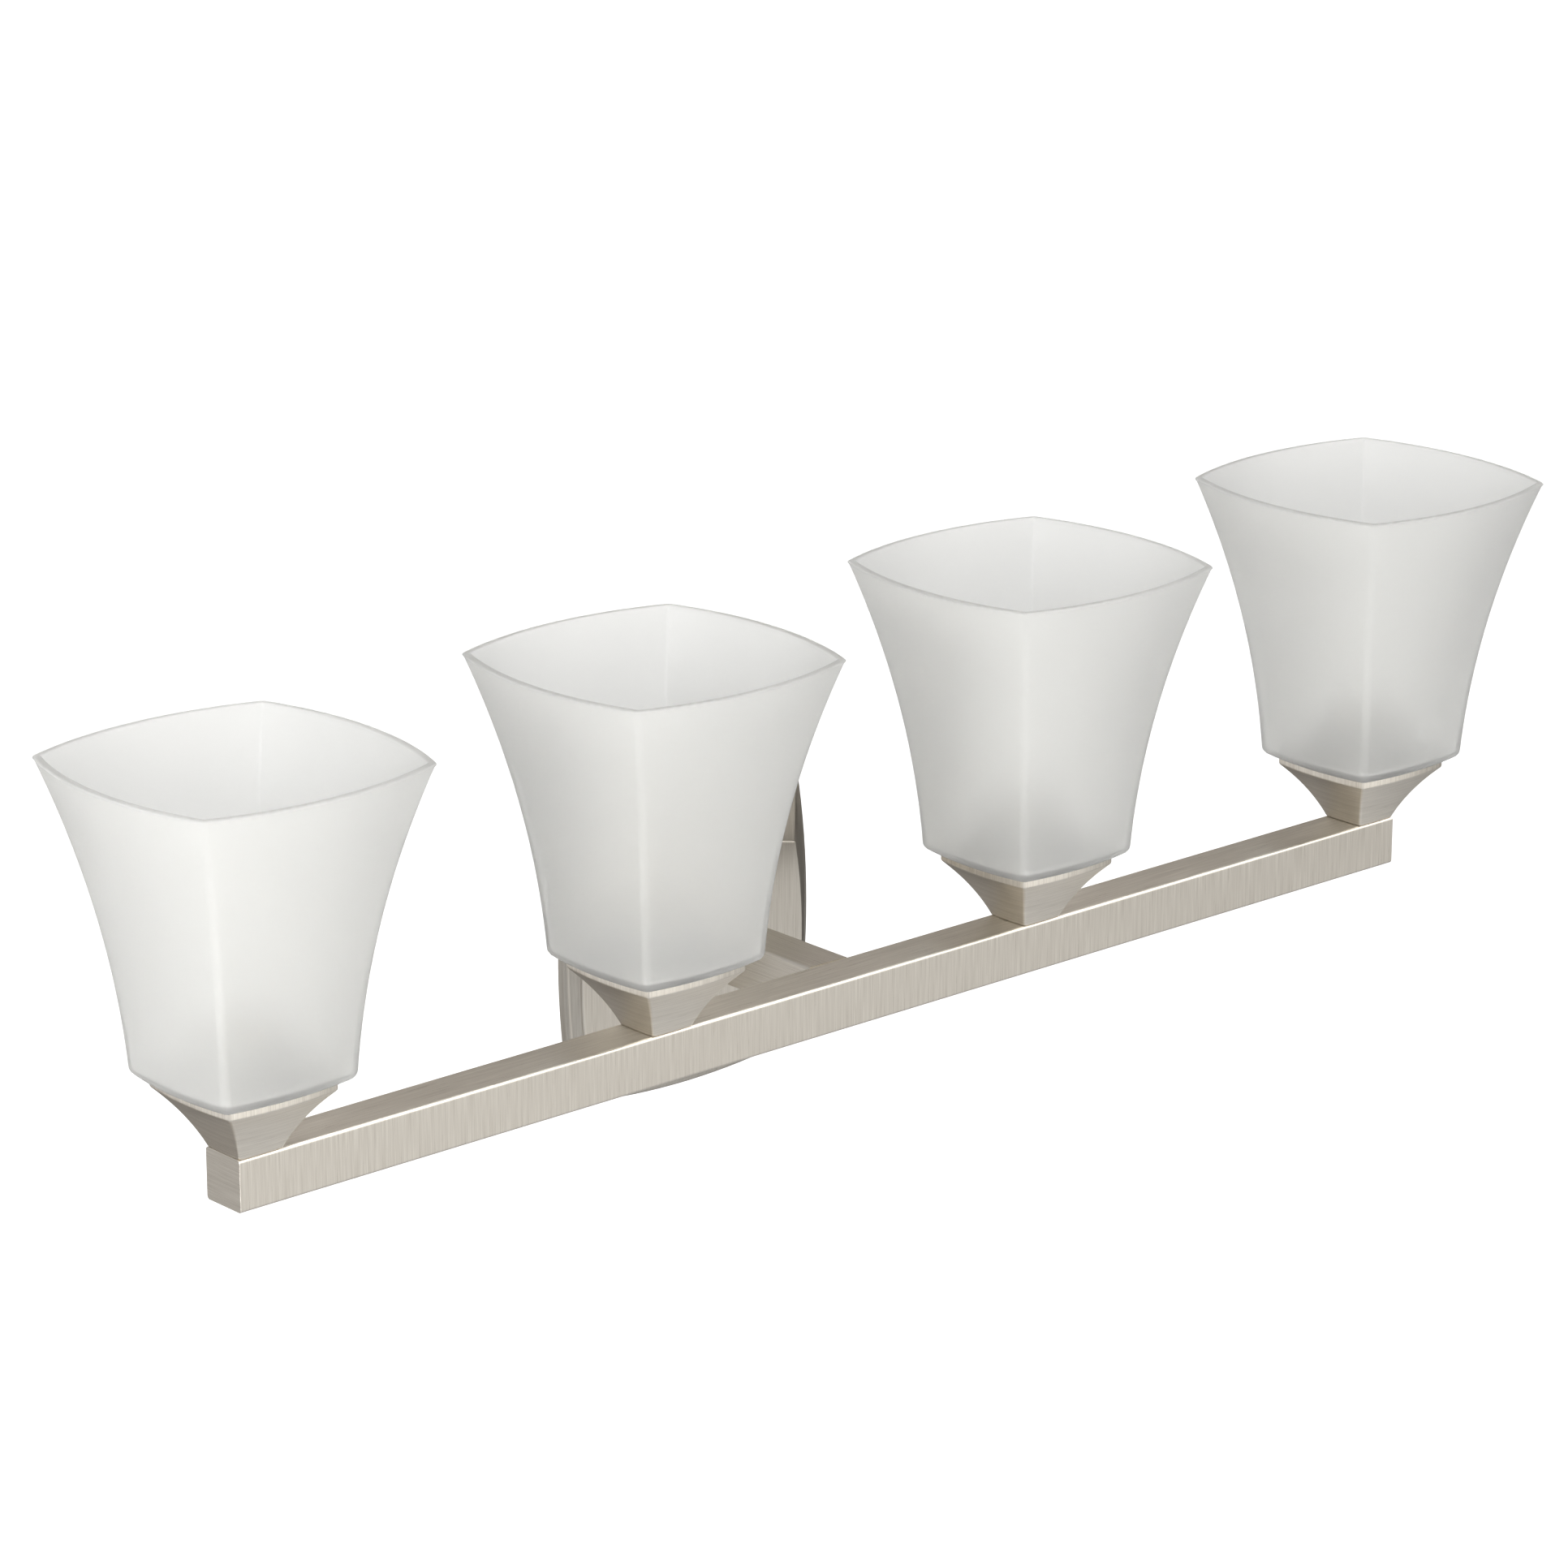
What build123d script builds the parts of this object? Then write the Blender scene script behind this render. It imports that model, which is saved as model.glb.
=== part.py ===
import os
from math import hypot, pi, sqrt

from build123d import *

# A four-lamp vanity light bar. Millimetres; X runs along the bar, -Y faces the room, +Z is up.
# The origin is the middle of the wall canopy's back plane, so the wall is the plane Y = 0.

# Light bar and arm: one square tube stock
lamp_count = 4
lamp_spacing = 241.3
tube_size = 25.4
tube_wall = 1.5
tube_corner = 1.6
wall_to_bar = 123.0

# Bar end caps
cap_plate = 1.5
cap_plug_wall = 1.4

# Glass shade: its corner half-width grows along an arc from foot to rim
shade_height = 149.0
shade_foot_half = 36.9
shade_rim_half = 63.5
shade_flare_radius = 600.0
side_bow_radius = 172.0
shade_corner = 5.0
glass_wall = 3.2
glass_floor = 4.0
glass_foot_round = 4.6
glass_inner_round = 1.6
glass_rim_round = 0.9
shade_hole = 42.0

# Shade holder
holder_height = 33.0
holder_base_step = 0.5
holder_rim_half = 30.2
holder_flare_radius = 88.0
holder_band = 4.8
holder_corner = 1.5
holder_wall = 2.0
holder_floor = 2.5
holder_foot_chamfer = 0.5

# Hollow threaded nipples and their nuts
nipple_outside = 9.7
nipple_bore = 6.8
nut_across_flats = 14.3
nut_thickness = 3.2
nipple_stand_out = 1.0
lock_washer_outside = 15.0
lock_washer_thickness = 0.8

# Lamp socket, medium screw base; its levels are set from the holder's rim
socket_sink = 13.0
socket_rise = 23.0
socket_thread_outside = 38.0
socket_thread_sink = 3.0
socket_waist = 36.4
socket_foot = 30.0
socket_foot_slope = 4.0
socket_boss_depth = 4.6
chamber_radius = 11.8
chamber_height = 5.4
socket_floor = 2.5
shell_seat_rise = 2.0
shell_seat_ledge = 1.2
shell_bore = 26.6
shell_sheet = 0.4
shell_flange_bore = 18.0
shell_top_gap = 1.0
shell_leg_inset = 1.2
contact_leg_inset = 4.6
strip_thickness = 0.6
contact_width = 4.0
contact_rise = 2.6
contact_lift = 0.1
terminal_gap = 2.4
tail_drop = 2.2

# Shade ring and its washer
ring_flange = 49.0
ring_flange_thickness = 2.4
ring_collar = 44.0
ring_height = 8.0
ring_scallops = 16
ring_scallop_radius = 1.6
washer_thickness = 0.8

# Wall canopy, a pressed shell
canopy_half_width = 73.3
canopy_half_height = 72.6
canopy_side_bow = 400.0
canopy_end_bow = 440.0
canopy_corner = 4.0
canopy_sheet = 1.2
canopy_edge_depth = 5.8
canopy_edge_round = 2.0
canopy_slope_rise = 2.6
canopy_panel_rise = 1.6
panel_half_width = 68.2
panel_half_height = 48.0
panel_drop = 13.0
panel_side_bow = 262.0
panel_end_bow = 305.0
panel_corner = 2.0
panel_edge_round = 0.7

# Arm inserts and the screws that hold the canopy
insert_length = 12.0
arm_screw_spacing = 15.0
arm_screw = 4.0
arm_screw_head = 7.4
arm_screw_head_height = 2.4
arm_screw_length = 9.0
arm_screw_recess = 4.4
arm_screw_recess_width = 1.0
arm_screw_recess_depth = 0.7
wire_hole = 9.0

# Mounting strap, studs and cap nuts
strap_width = 22.0
strap_length = 110.0
strap_thickness = 2.0
strap_end_round = 4.0
stud_spacing = 69.85
stud = 4.1
stud_reach = 7.0
box_slot_spacing = 88.9
box_slot_width = 4.8
box_slot_length = 9.6
cap_nut_base = 10.0
cap_nut_skirt = 3.0
cap_nut_relief = 0.4

# Leads
lead = 2.1
lead_spread = 2.2
lead_bend = 8.0
exit_bend = 6.0
supply_reach = 30.0
sleeve_outside = 4.1
sleeve_length = 9.0
connector_big = 7.8
connector_small = 6.0
connector_length = 17.0
connector_grip = 9.0
lead_plane = 4.7
ground_screw_drop = 22.0
ground_screw_head = 6.6
ground_screw_head_height = 1.8
ground_screw_slot_width = 0.9
ground_screw_slot_depth = 0.6
ground_lead = 1.6
ground_lead_run = 3.0
ground_lead_fall = 9.0
ground_lead_tail = 6.0
ground_lead_tail_shift = 1.5
ground_lead_bends = [2.6, 3.4, 5.0]
terminal_outside = 7.6
terminal_thickness = 0.8
terminal_tongue = 4.0

# Clearances
thread_gap = 0.05
slip_gap = 0.15
press_gap = 0.02
hole_gap = 0.3
strip_gap = 0.4

# Places worked out from the sizes above
half_tube = tube_size / 2
inner_half = half_tube - tube_wall
holder_base_half = half_tube - holder_base_step
socket_bottom = holder_height - socket_sink
socket_top = holder_height + socket_rise
socket_thread_start = holder_height - socket_thread_sink
shell_seat = holder_height + shell_seat_rise
shell_leg = chamber_radius - shell_leg_inset
contact_leg = chamber_radius - contact_leg_inset
cap_plug_depth = half_tube - cap_plate - nut_across_flats / 2 - hole_gap
bar_length = (lamp_count - 1) * lamp_spacing + tube_size
bar_y = -wall_to_bar
panel_face = canopy_edge_depth + canopy_slope_rise + canopy_panel_rise
panel_inside = panel_face - canopy_sheet
arm_front = bar_y + half_tube
arm_rear = -panel_face
glass_floor_top = holder_height + glass_floor
washer_top = glass_floor_top + washer_thickness
lead_top = socket_bottom + socket_boss_depth + chamber_height - 2 * strip_thickness - tail_drop
tail_height = lead_top + strip_thickness / 2
lamp_nut_low = -tube_wall - nut_thickness
nipple_low = lamp_nut_low - nipple_stand_out
nipple_top = socket_bottom + socket_boss_depth


def lamp_place(index):
    x = (index - (lamp_count - 1) / 2) * lamp_spacing
    return Pos(x, bar_y, half_tube)


def on_bar(shape):
    # One copy of a shape at each lamp, kept as separate solids
    return Compound(children=[lamp_place(index) * shape for index in range(lamp_count)])


def out_from_wall(shape):
    # Turns a shape drawn on XY, rising along Z, to stand out from the wall towards -Y
    return Rot(90, 0, 0) * shape


def along_x(shape):
    return Rot(0, 90, 0) * shape


def bowed_face(half_x, half_y, bow_x, bow_y, corner, height=0):
    # A rectangle with sides bowed outwards: bow_x is the radius of the sides at +X and -X
    rise_x = bow_x - sqrt(bow_x**2 - half_y**2)
    rise_y = bow_y - sqrt(bow_y**2 - half_x**2)
    sides = [
        ThreePointArc((-half_x, -half_y), (0, -half_y - rise_y), (half_x, -half_y)),
        ThreePointArc((half_x, -half_y), (half_x + rise_x, 0), (half_x, half_y)),
        ThreePointArc((half_x, half_y), (0, half_y + rise_y), (-half_x, half_y)),
        ThreePointArc((-half_x, half_y), (-half_x - rise_x, 0), (-half_x, -half_y)),
    ]
    face = Face(Wire(sides))
    return Pos(0, 0, height) * face.fillet_2d(corner, face.vertices())


def flare_half(low_half, high_half, height, radius, z):
    # Half-width at z on the hollow arc that joins the low and high half-widths
    widening = high_half - low_half
    chord = hypot(widening, height)
    reach = sqrt(radius**2 - (chord / 2) ** 2)
    centre_half = (low_half + high_half) / 2 + reach * height / chord
    centre_z = height / 2 - reach * widening / chord
    return centre_half - sqrt(radius**2 - (z - centre_z) ** 2)


def bowed_square(half, inset, corner, z):
    bow = side_bow_radius - inset
    return bowed_face(half - inset, half - inset, bow, bow, corner, z)


def shade_section(z, inset, corner):
    half = flare_half(shade_foot_half, shade_rim_half, shade_height, shade_flare_radius, z)
    return bowed_square(half, inset, corner, z)


def holder_section(z, inset, corner):
    flare_top = holder_height - holder_band
    half = flare_half(holder_base_half, holder_rim_half, flare_top, holder_flare_radius, min(z, flare_top))
    return bowed_square(half, inset, corner, z)


def heights(low, high, count):
    return [low + (high - low) * step / (count - 1) for step in range(count)]


def edges_at(shape, z):
    return shape.edges().filter_by_position(Axis.Z, z - 0.01, z + 0.01)


def disc(diameter, thickness, z=0):
    return Pos(0, 0, z) * Cylinder(diameter / 2, thickness, align=(Align.CENTER, Align.CENTER, Align.MIN))


def square_prism(size, corner, length):
    return extrude(RectangleRounded(size, size, corner), length)


def square_tube(length):
    outside = square_prism(tube_size, tube_corner, length)
    inside = Box(2 * inner_half, 2 * inner_half, length, align=(Align.CENTER, Align.CENTER, Align.MIN))
    return outside - inside


def hex_nut():
    # Two of its flats face the bar's ends
    hexagon = RegularPolygon(nut_across_flats / 2, 6, major_radius=False, rotation=30)
    blank = extrude(hexagon, nut_thickness)
    return blank - disc(nipple_outside + 2 * thread_gap, nut_thickness)


def lock_washer():
    return disc(lock_washer_outside, lock_washer_thickness) - disc(
        nipple_outside + 2 * slip_gap, lock_washer_thickness
    )


def nipple(length):
    return disc(nipple_outside, length) - disc(nipple_bore, length)


def strip(points, width):
    # A bent flat strip in the YZ plane, one thin plate for each straight run
    plates = []
    for start, end in zip(points, points[1:]):
        run = Vector(0, end[0] - start[0], end[1] - start[1])
        middle = Vector(0, (start[0] + end[0]) / 2, (start[1] + end[1]) / 2)
        place = Plane(origin=middle, x_dir=(1, 0, 0), z_dir=Vector(1, 0, 0).cross(run))
        plates.append(place * Box(width, run.length + strip_thickness, strip_thickness))
    return Part() + plates


def wire(points, diameter, bends):
    path = FilletPolyline(*points, radius=bends) if bends else Line(*points)
    start = Plane(origin=path @ 0, z_dir=path % 0)
    return sweep(start * Circle(diameter / 2), path=path)


def light_bar():
    tube_length = bar_length - 2 * cap_plate
    tube = Pos(-tube_length / 2, bar_y, 0) * along_x(square_tube(tube_length))
    hole = nipple_outside + 2 * slip_gap
    for index in range(lamp_count):
        tube -= lamp_place(index) * disc(hole, 2 * tube_wall, -1.5 * tube_wall)
    tube -= Pos(0, arm_front, 0) * out_from_wall(disc(hole, 2 * tube_wall, -0.5 * tube_wall))
    return tube


def end_cap(side):
    plate = square_prism(tube_size, tube_corner, cap_plate)
    plug_size = 2 * (inner_half - press_gap)
    hollow = plug_size - 2 * cap_plug_wall
    plug = extrude(Rectangle(plug_size, plug_size) - Rectangle(hollow, hollow), cap_plug_depth)
    cap = plate + Pos(0, 0, cap_plate) * plug
    return Pos(side * bar_length / 2, bar_y, 0) * (Rot(0, -90 * side, 0) * cap)


def arm():
    return Pos(0, arm_rear, 0) * out_from_wall(square_tube(arm_rear - arm_front))


def insert_block():
    size = 2 * (inner_half - press_gap)
    return Box(size, size, insert_length, align=(Align.CENTER, Align.CENTER, Align.MIN))


def arm_front_insert():
    block = insert_block() - disc(nipple_outside + 2 * thread_gap, insert_length)
    return Pos(0, arm_front + insert_length, 0) * out_from_wall(block)


def arm_rear_insert():
    block = insert_block() - disc(wire_hole, insert_length)
    for side in (-1, 1):
        block -= Pos(0, side * arm_screw_spacing / 2, 0) * disc(arm_screw + 2 * thread_gap, insert_length)
    return Pos(0, arm_rear, 0) * out_from_wall(block)


def arm_front_nipple():
    front = arm_front - tube_wall - lock_washer_thickness - nut_thickness - nipple_stand_out
    rear = arm_front + insert_length
    return Pos(0, rear, 0) * out_from_wall(nipple(rear - front))


def arm_front_nut():
    return Pos(0, arm_front - tube_wall - lock_washer_thickness, 0) * out_from_wall(hex_nut())


def arm_front_washer():
    return Pos(0, arm_front - tube_wall, 0) * out_from_wall(lock_washer())


def arm_screws():
    # Pan heads inside the canopy; the upper one bears on the sheet, the lower one on the ground terminal
    screws = []
    for side, packing in ((-1, terminal_thickness), (1, 0)):
        head = disc(arm_screw_head, arm_screw_head_height)
        head = fillet(edges_at(head, 0), arm_screw_head_height / 2.5)
        shank = disc(arm_screw, arm_screw_length, arm_screw_head_height)
        centred = (Align.CENTER, Align.CENTER, Align.MIN)
        slot = Box(arm_screw_recess, arm_screw_recess_width, arm_screw_recess_depth, align=centred)
        cross = Box(arm_screw_recess_width, arm_screw_recess, arm_screw_recess_depth, align=centred)
        head_face = panel_inside - packing - arm_screw_head_height
        screw = head + shank - slot - cross
        screws.append(out_from_wall(Pos(0, side * arm_screw_spacing / 2, head_face) * screw))
    return Compound(children=screws)


def shade_holder():
    flare_top = holder_height - holder_band
    flare = loft([holder_section(z, 0, holder_corner) for z in heights(0, flare_top, 6)])
    band = extrude(holder_section(flare_top, 0, holder_corner), holder_band)
    inner_corner = holder_corner / 2
    hollow = loft([holder_section(z, holder_wall, inner_corner) for z in heights(holder_floor, flare_top, 6)])
    hollow += extrude(holder_section(flare_top, holder_wall, inner_corner), holder_band)
    flare = chamfer(edges_at(flare, 0), holder_foot_chamfer)
    cup = flare + band - hollow
    return cup - disc(nipple_outside + 2 * slip_gap, holder_floor)


def glass_shade():
    outside = loft([shade_section(z, 0, shade_corner) for z in heights(0, shade_height, 7)])
    outside = fillet(edges_at(outside, 0), glass_foot_round)
    inner_corner = shade_corner - glass_wall
    inside = loft([shade_section(z, glass_wall, inner_corner) for z in heights(glass_floor, shade_height, 7)])
    inside = fillet(edges_at(inside, glass_floor), glass_inner_round)
    glass = outside - inside
    glass = fillet(edges_at(glass, shade_height), glass_rim_round)
    return Pos(0, 0, holder_height) * (glass - disc(shade_hole, glass_floor))


def socket_body():
    outline = [
        (0, socket_bottom),
        (socket_foot / 2, socket_bottom),
        (socket_waist / 2, socket_bottom + socket_foot_slope),
        (socket_waist / 2, socket_thread_start),
        (socket_thread_outside / 2, socket_thread_start),
        (socket_thread_outside / 2, socket_top),
        (0, socket_top),
    ]
    profile = Plane.XZ * make_face(Polyline(*outline, close=True))
    body = revolve(profile, Axis.Z)
    chamber_low = socket_bottom + socket_boss_depth
    chamber_top = chamber_low + chamber_height
    cavity_low = chamber_top + socket_floor
    seat_bore = shell_bore + 2 * shell_sheet - 2 * shell_seat_ledge
    body -= disc(nipple_outside + 2 * thread_gap, socket_boss_depth, socket_bottom)
    body -= disc(2 * chamber_radius, chamber_height, chamber_low)
    body -= disc(seat_bore, shell_seat - cavity_low, cavity_low)
    body -= disc(shell_bore + 2 * shell_sheet + 2 * slip_gap, socket_top - shell_seat, shell_seat)
    slot_height = (chamber_top + cavity_low) / 2
    for place_y in (-contact_leg, shell_leg):
        slot = Box(contact_width + strip_gap, strip_thickness + strip_gap, 2 * socket_floor)
        body -= Pos(0, place_y, slot_height) * slot
    return body


def socket_shell():
    outer = shell_bore + 2 * shell_sheet
    wall_top = socket_top - shell_top_gap
    shell = disc(outer, wall_top - shell_seat, shell_seat)
    shell -= disc(shell_bore, wall_top - shell_seat, shell_seat + shell_sheet)
    shell -= disc(shell_flange_bore, shell_sheet, shell_seat)
    tail = [
        (terminal_gap / 2, tail_height),
        (shell_leg, tail_height),
        (shell_leg, shell_seat + shell_sheet / 2),
    ]
    return shell + strip(tail, contact_width)


def socket_contact():
    floor_top = socket_bottom + socket_boss_depth + chamber_height + socket_floor
    base = floor_top + contact_lift + strip_thickness / 2
    points = [
        (-terminal_gap / 2, tail_height),
        (-contact_leg, tail_height),
        (-contact_leg, base),
        (-contact_leg / 2, base),
        (contact_leg / 4, base + contact_rise - strip_thickness),
        (contact_leg / 2, base + contact_rise - 2 * strip_thickness),
    ]
    return strip(points, contact_width)


def shade_washer():
    blank = disc(ring_flange, washer_thickness, glass_floor_top)
    return blank - disc(socket_thread_outside + 2 * hole_gap, washer_thickness, glass_floor_top)


def shade_ring():
    flange = disc(ring_flange, ring_flange_thickness, washer_top)
    collar = disc(ring_collar, ring_height, washer_top)
    ring = flange + collar
    flange_top = washer_top + ring_flange_thickness
    grip_height = ring_height - ring_flange_thickness
    for place in PolarLocations(ring_collar / 2 + ring_scallop_radius / 2, ring_scallops):
        ring -= place * disc(2 * ring_scallop_radius, grip_height, flange_top)
    return ring - disc(socket_thread_outside + 2 * thread_gap, ring_height, washer_top)


def nipple_nuts():
    # Two for each lamp: one under the bar's top wall, one on the holder's floor
    low = Pos(0, 0, lamp_nut_low) * hex_nut()
    high = Pos(0, 0, holder_floor + lock_washer_thickness) * hex_nut()
    return Compound(children=[lamp_place(i) * nut for i in range(lamp_count) for nut in (low, high)])


def canopy_face(inset, height):
    return bowed_face(
        canopy_half_width - inset,
        canopy_half_height - inset,
        canopy_side_bow - inset,
        canopy_end_bow - inset,
        canopy_corner - inset,
        height,
    )


def panel_face_at(inset, height):
    # The panel sits low on the plate, so its border is widest above it
    return Pos(0, -panel_drop, 0) * bowed_face(
        panel_half_width - inset,
        panel_half_height - inset,
        panel_side_bow - inset,
        panel_end_bow - inset,
        panel_corner - inset,
        height,
    )


def canopy_form(inset):
    # The plate's solid form; drawn smaller by the sheet, it is the hollow behind
    edge = canopy_edge_depth - inset
    shoulder = edge + canopy_slope_rise
    base = extrude(canopy_face(inset, 0), edge)
    slope = loft([canopy_face(inset, edge), panel_face_at(inset, shoulder)], ruled=True)
    panel = extrude(panel_face_at(inset, shoulder), canopy_panel_rise)
    return base + slope + panel


def canopy():
    outside = canopy_form(0)
    outside = fillet(edges_at(outside, canopy_edge_depth), canopy_edge_round)
    outside = fillet(edges_at(outside, panel_face), panel_edge_round)
    shell = outside - canopy_form(canopy_sheet)
    shell -= disc(wire_hole, panel_face)
    for side in (-1, 1):
        shell -= Pos(0, side * arm_screw_spacing / 2, 0) * disc(arm_screw + 2 * slip_gap, panel_face)
        shell -= Pos(0, side * stud_spacing / 2, 0) * disc(stud + 2 * hole_gap, panel_face)
    return out_from_wall(shell)


def mounting_strap():
    blank = extrude(RectangleRounded(strap_width, strap_length, strap_end_round), strap_thickness)
    for side in (-1, 1):
        blank -= Pos(0, side * stud_spacing / 2, 0) * disc(stud + 2 * thread_gap, strap_thickness)
        slot = extrude(SlotOverall(box_slot_length, box_slot_width, rotation=90), strap_thickness)
        blank -= Pos(0, side * box_slot_spacing / 2, 0) * slot
    blank -= Pos(0, -ground_screw_drop, 0) * disc(arm_screw + 2 * thread_gap, strap_thickness)
    return out_from_wall(blank)


def canopy_studs():
    reach = panel_face + stud_reach
    rods = [out_from_wall(Pos(0, side * stud_spacing / 2, 0) * disc(stud, reach)) for side in (-1, 1)]
    return Compound(children=rods)


def cap_nuts():
    dome_radius = cap_nut_base / 2
    nut = disc(cap_nut_base, cap_nut_skirt) + Pos(0, 0, cap_nut_skirt) * Sphere(dome_radius)
    nut &= disc(cap_nut_base, cap_nut_skirt + dome_radius)
    nut -= disc(stud + 2 * thread_gap, stud_reach + cap_nut_relief)
    nuts = [out_from_wall(Pos(0, side * stud_spacing / 2, panel_face) * nut) for side in (-1, 1)]
    return Compound(children=nuts)


def ground_screw():
    head = extrude(RegularPolygon(ground_screw_head / 2, 6), ground_screw_head_height)
    screw = head + disc(arm_screw, strap_thickness, -strap_thickness)
    slot = Box(2 * ground_screw_head, ground_screw_slot_width, 2 * ground_screw_slot_depth)
    screw -= Pos(0, 0, ground_screw_head_height) * slot
    return out_from_wall(Pos(0, -ground_screw_drop, strap_thickness) * screw)


def ground_wire():
    # Ring terminal under the arm's lower screw, its tongue to one side, then a bare wire to the strap
    drop = -arm_screw_spacing / 2
    eye_depth = panel_inside - terminal_thickness
    tongue_start = arm_screw_head / 2 + slip_gap
    wire_start = tongue_start + hole_gap
    tongue_end = wire_start + terminal_tongue
    eye = disc(terminal_outside, terminal_thickness)
    tongue = Box(tongue_end, 2 * ground_lead, terminal_thickness)
    eye += Pos(tongue_end / 2, 0, terminal_thickness / 2) * tongue
    eye -= disc(arm_screw + 2 * slip_gap, terminal_thickness)
    depth = eye_depth - ground_lead / 2 + thread_gap
    side_x = ground_screw_head / 2 + ground_lead / 2 + strip_gap
    low_depth = strap_thickness + ground_lead / 2 + thread_gap
    points = [
        (wire_start, drop, depth),
        (tongue_end + ground_lead_run, drop, depth),
        (tongue_end + ground_lead_run, drop - ground_lead_fall, low_depth),
        (side_x, -ground_screw_drop, low_depth),
        (side_x - ground_lead_tail_shift, -ground_screw_drop - ground_lead_tail, low_depth),
    ]
    return out_from_wall(Pos(0, drop, eye_depth) * eye + wire(points, ground_lead, ground_lead_bends))


def bus_lead(side):
    # Runs the whole bar and turns up into the two outer lamps
    first, last = [(index - (lamp_count - 1) / 2) * lamp_spacing for index in (0, lamp_count - 1)]
    y = bar_y + side * lead_spread
    z = -side * lead_spread
    top = half_tube + lead_top
    return wire([(first, y, top), (first, y, z), (last, y, z), (last, y, top)], lead, lead_bend)


def tap_leads(side):
    # Straight up from the bus lead to each inner lamp
    y = side * lead_spread
    low = -half_tube - side * lead_spread + lead / 2
    drops = [
        lamp_place(index) * (Pos(0, y, 0) * disc(lead, lead_top - low, low))
        for index in range(1, lamp_count - 1)
    ]
    return Compound(children=drops)


def supply_lead(side):
    # From the bus lead back through the arm, then sideways inside the canopy
    z = -side * lead_spread
    start = bar_y + side * lead_spread + lead / 2
    points = [(0, start, z), (0, -lead_plane, z), (side * supply_reach, -lead_plane, z)]
    return wire(points, lead, exit_bend)


def crimp_sleeves(side):
    bus_y = bar_y + side * lead_spread
    bus_z = -side * lead_spread
    sleeve = along_x(Pos(0, 0, -sleeve_length / 2) * (disc(sleeve_outside, sleeve_length)))
    sleeve -= along_x(Pos(0, 0, -sleeve_length / 2) * disc(lead + 2 * slip_gap, sleeve_length))
    port = disc(lead + 2 * thread_gap, sleeve_outside)
    upward = sleeve - port
    backward = sleeve - Rot(-90, 0, 0) * port
    places = [lamp_place(index).position.X for index in range(1, lamp_count - 1)]
    sleeves = [Pos(x, bus_y, bus_z) * upward for x in places]
    sleeves.append(Pos(0, bus_y, bus_z) * backward)
    return sleeves


def wire_connectors():
    body = Solid.make_cone(connector_big / 2, connector_small / 2, connector_length)
    body -= disc(lead + 2 * thread_gap, connector_grip)
    connectors = []
    for side in (-1, 1):
        turned = Rot(0, 90 * side, 0) * body
        mouth = supply_reach - connector_grip
        connectors.append(Pos(side * mouth, -lead_plane, -side * lead_spread) * turned)
    return Compound(children=connectors)


def lamp_nodes(index):
    number = index + 1
    place = lamp_place(index)
    return {
        f"glass_shade_{number}": place * glass_shade(),
        f"shade_holder_{number}": place * shade_holder(),
        f"socket_body_{number}": place * socket_body(),
        f"socket_shell_{number}": place * socket_shell(),
        f"socket_contact_{number}": place * socket_contact(),
        f"shade_washer_{number}": place * shade_washer(),
        f"shade_ring_{number}": place * shade_ring(),
    }


def build_nodes():
    lamp_nipple = Pos(0, 0, nipple_low) * nipple(nipple_top - nipple_low)
    nodes = {
        "light_bar": light_bar(),
        "end_cap_left": end_cap(-1),
        "end_cap_right": end_cap(1),
        "arm": arm(),
        "arm_front_insert": arm_front_insert(),
        "arm_rear_insert": arm_rear_insert(),
        "arm_front_nipple": arm_front_nipple(),
        "arm_front_nut": arm_front_nut(),
        "arm_front_lock_washer": arm_front_washer(),
        "arm_screws": arm_screws(),
        "canopy": canopy(),
        "mounting_strap": mounting_strap(),
        "canopy_studs": canopy_studs(),
        "cap_nuts": cap_nuts(),
        "ground_screw": ground_screw(),
        "ground_lead": ground_wire(),
        "lamp_nipples": on_bar(lamp_nipple),
        "nipple_nuts": nipple_nuts(),
        "holder_lock_washers": on_bar(Pos(0, 0, holder_floor) * lock_washer()),
        "wire_connectors": wire_connectors(),
        "crimp_sleeves": Compound(children=crimp_sleeves(-1) + crimp_sleeves(1)),
    }
    for colour, side in (("black", -1), ("white", 1)):
        nodes[f"bus_lead_{colour}"] = bus_lead(side)
        nodes[f"tap_leads_{colour}"] = tap_leads(side)
        nodes[f"supply_lead_{colour}"] = supply_lead(side)
    for index in range(lamp_count):
        nodes.update(lamp_nodes(index))
    return nodes


os.makedirs("parts", exist_ok=True)
for node, shape in build_nodes().items():
    export_step(shape, f"parts/{node}.step")
    print(node, len(shape.solids()), round(shape.volume, 1))
    if "_lead_" in node:
        bend = lead_bend if node.startswith("bus") else exit_bend
        print("  bend radius", bend, "length", round(shape.volume / (pi * lead**2 / 4), 1))
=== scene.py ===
from math import cos, hypot, pi, radians, sin, sqrt

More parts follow.
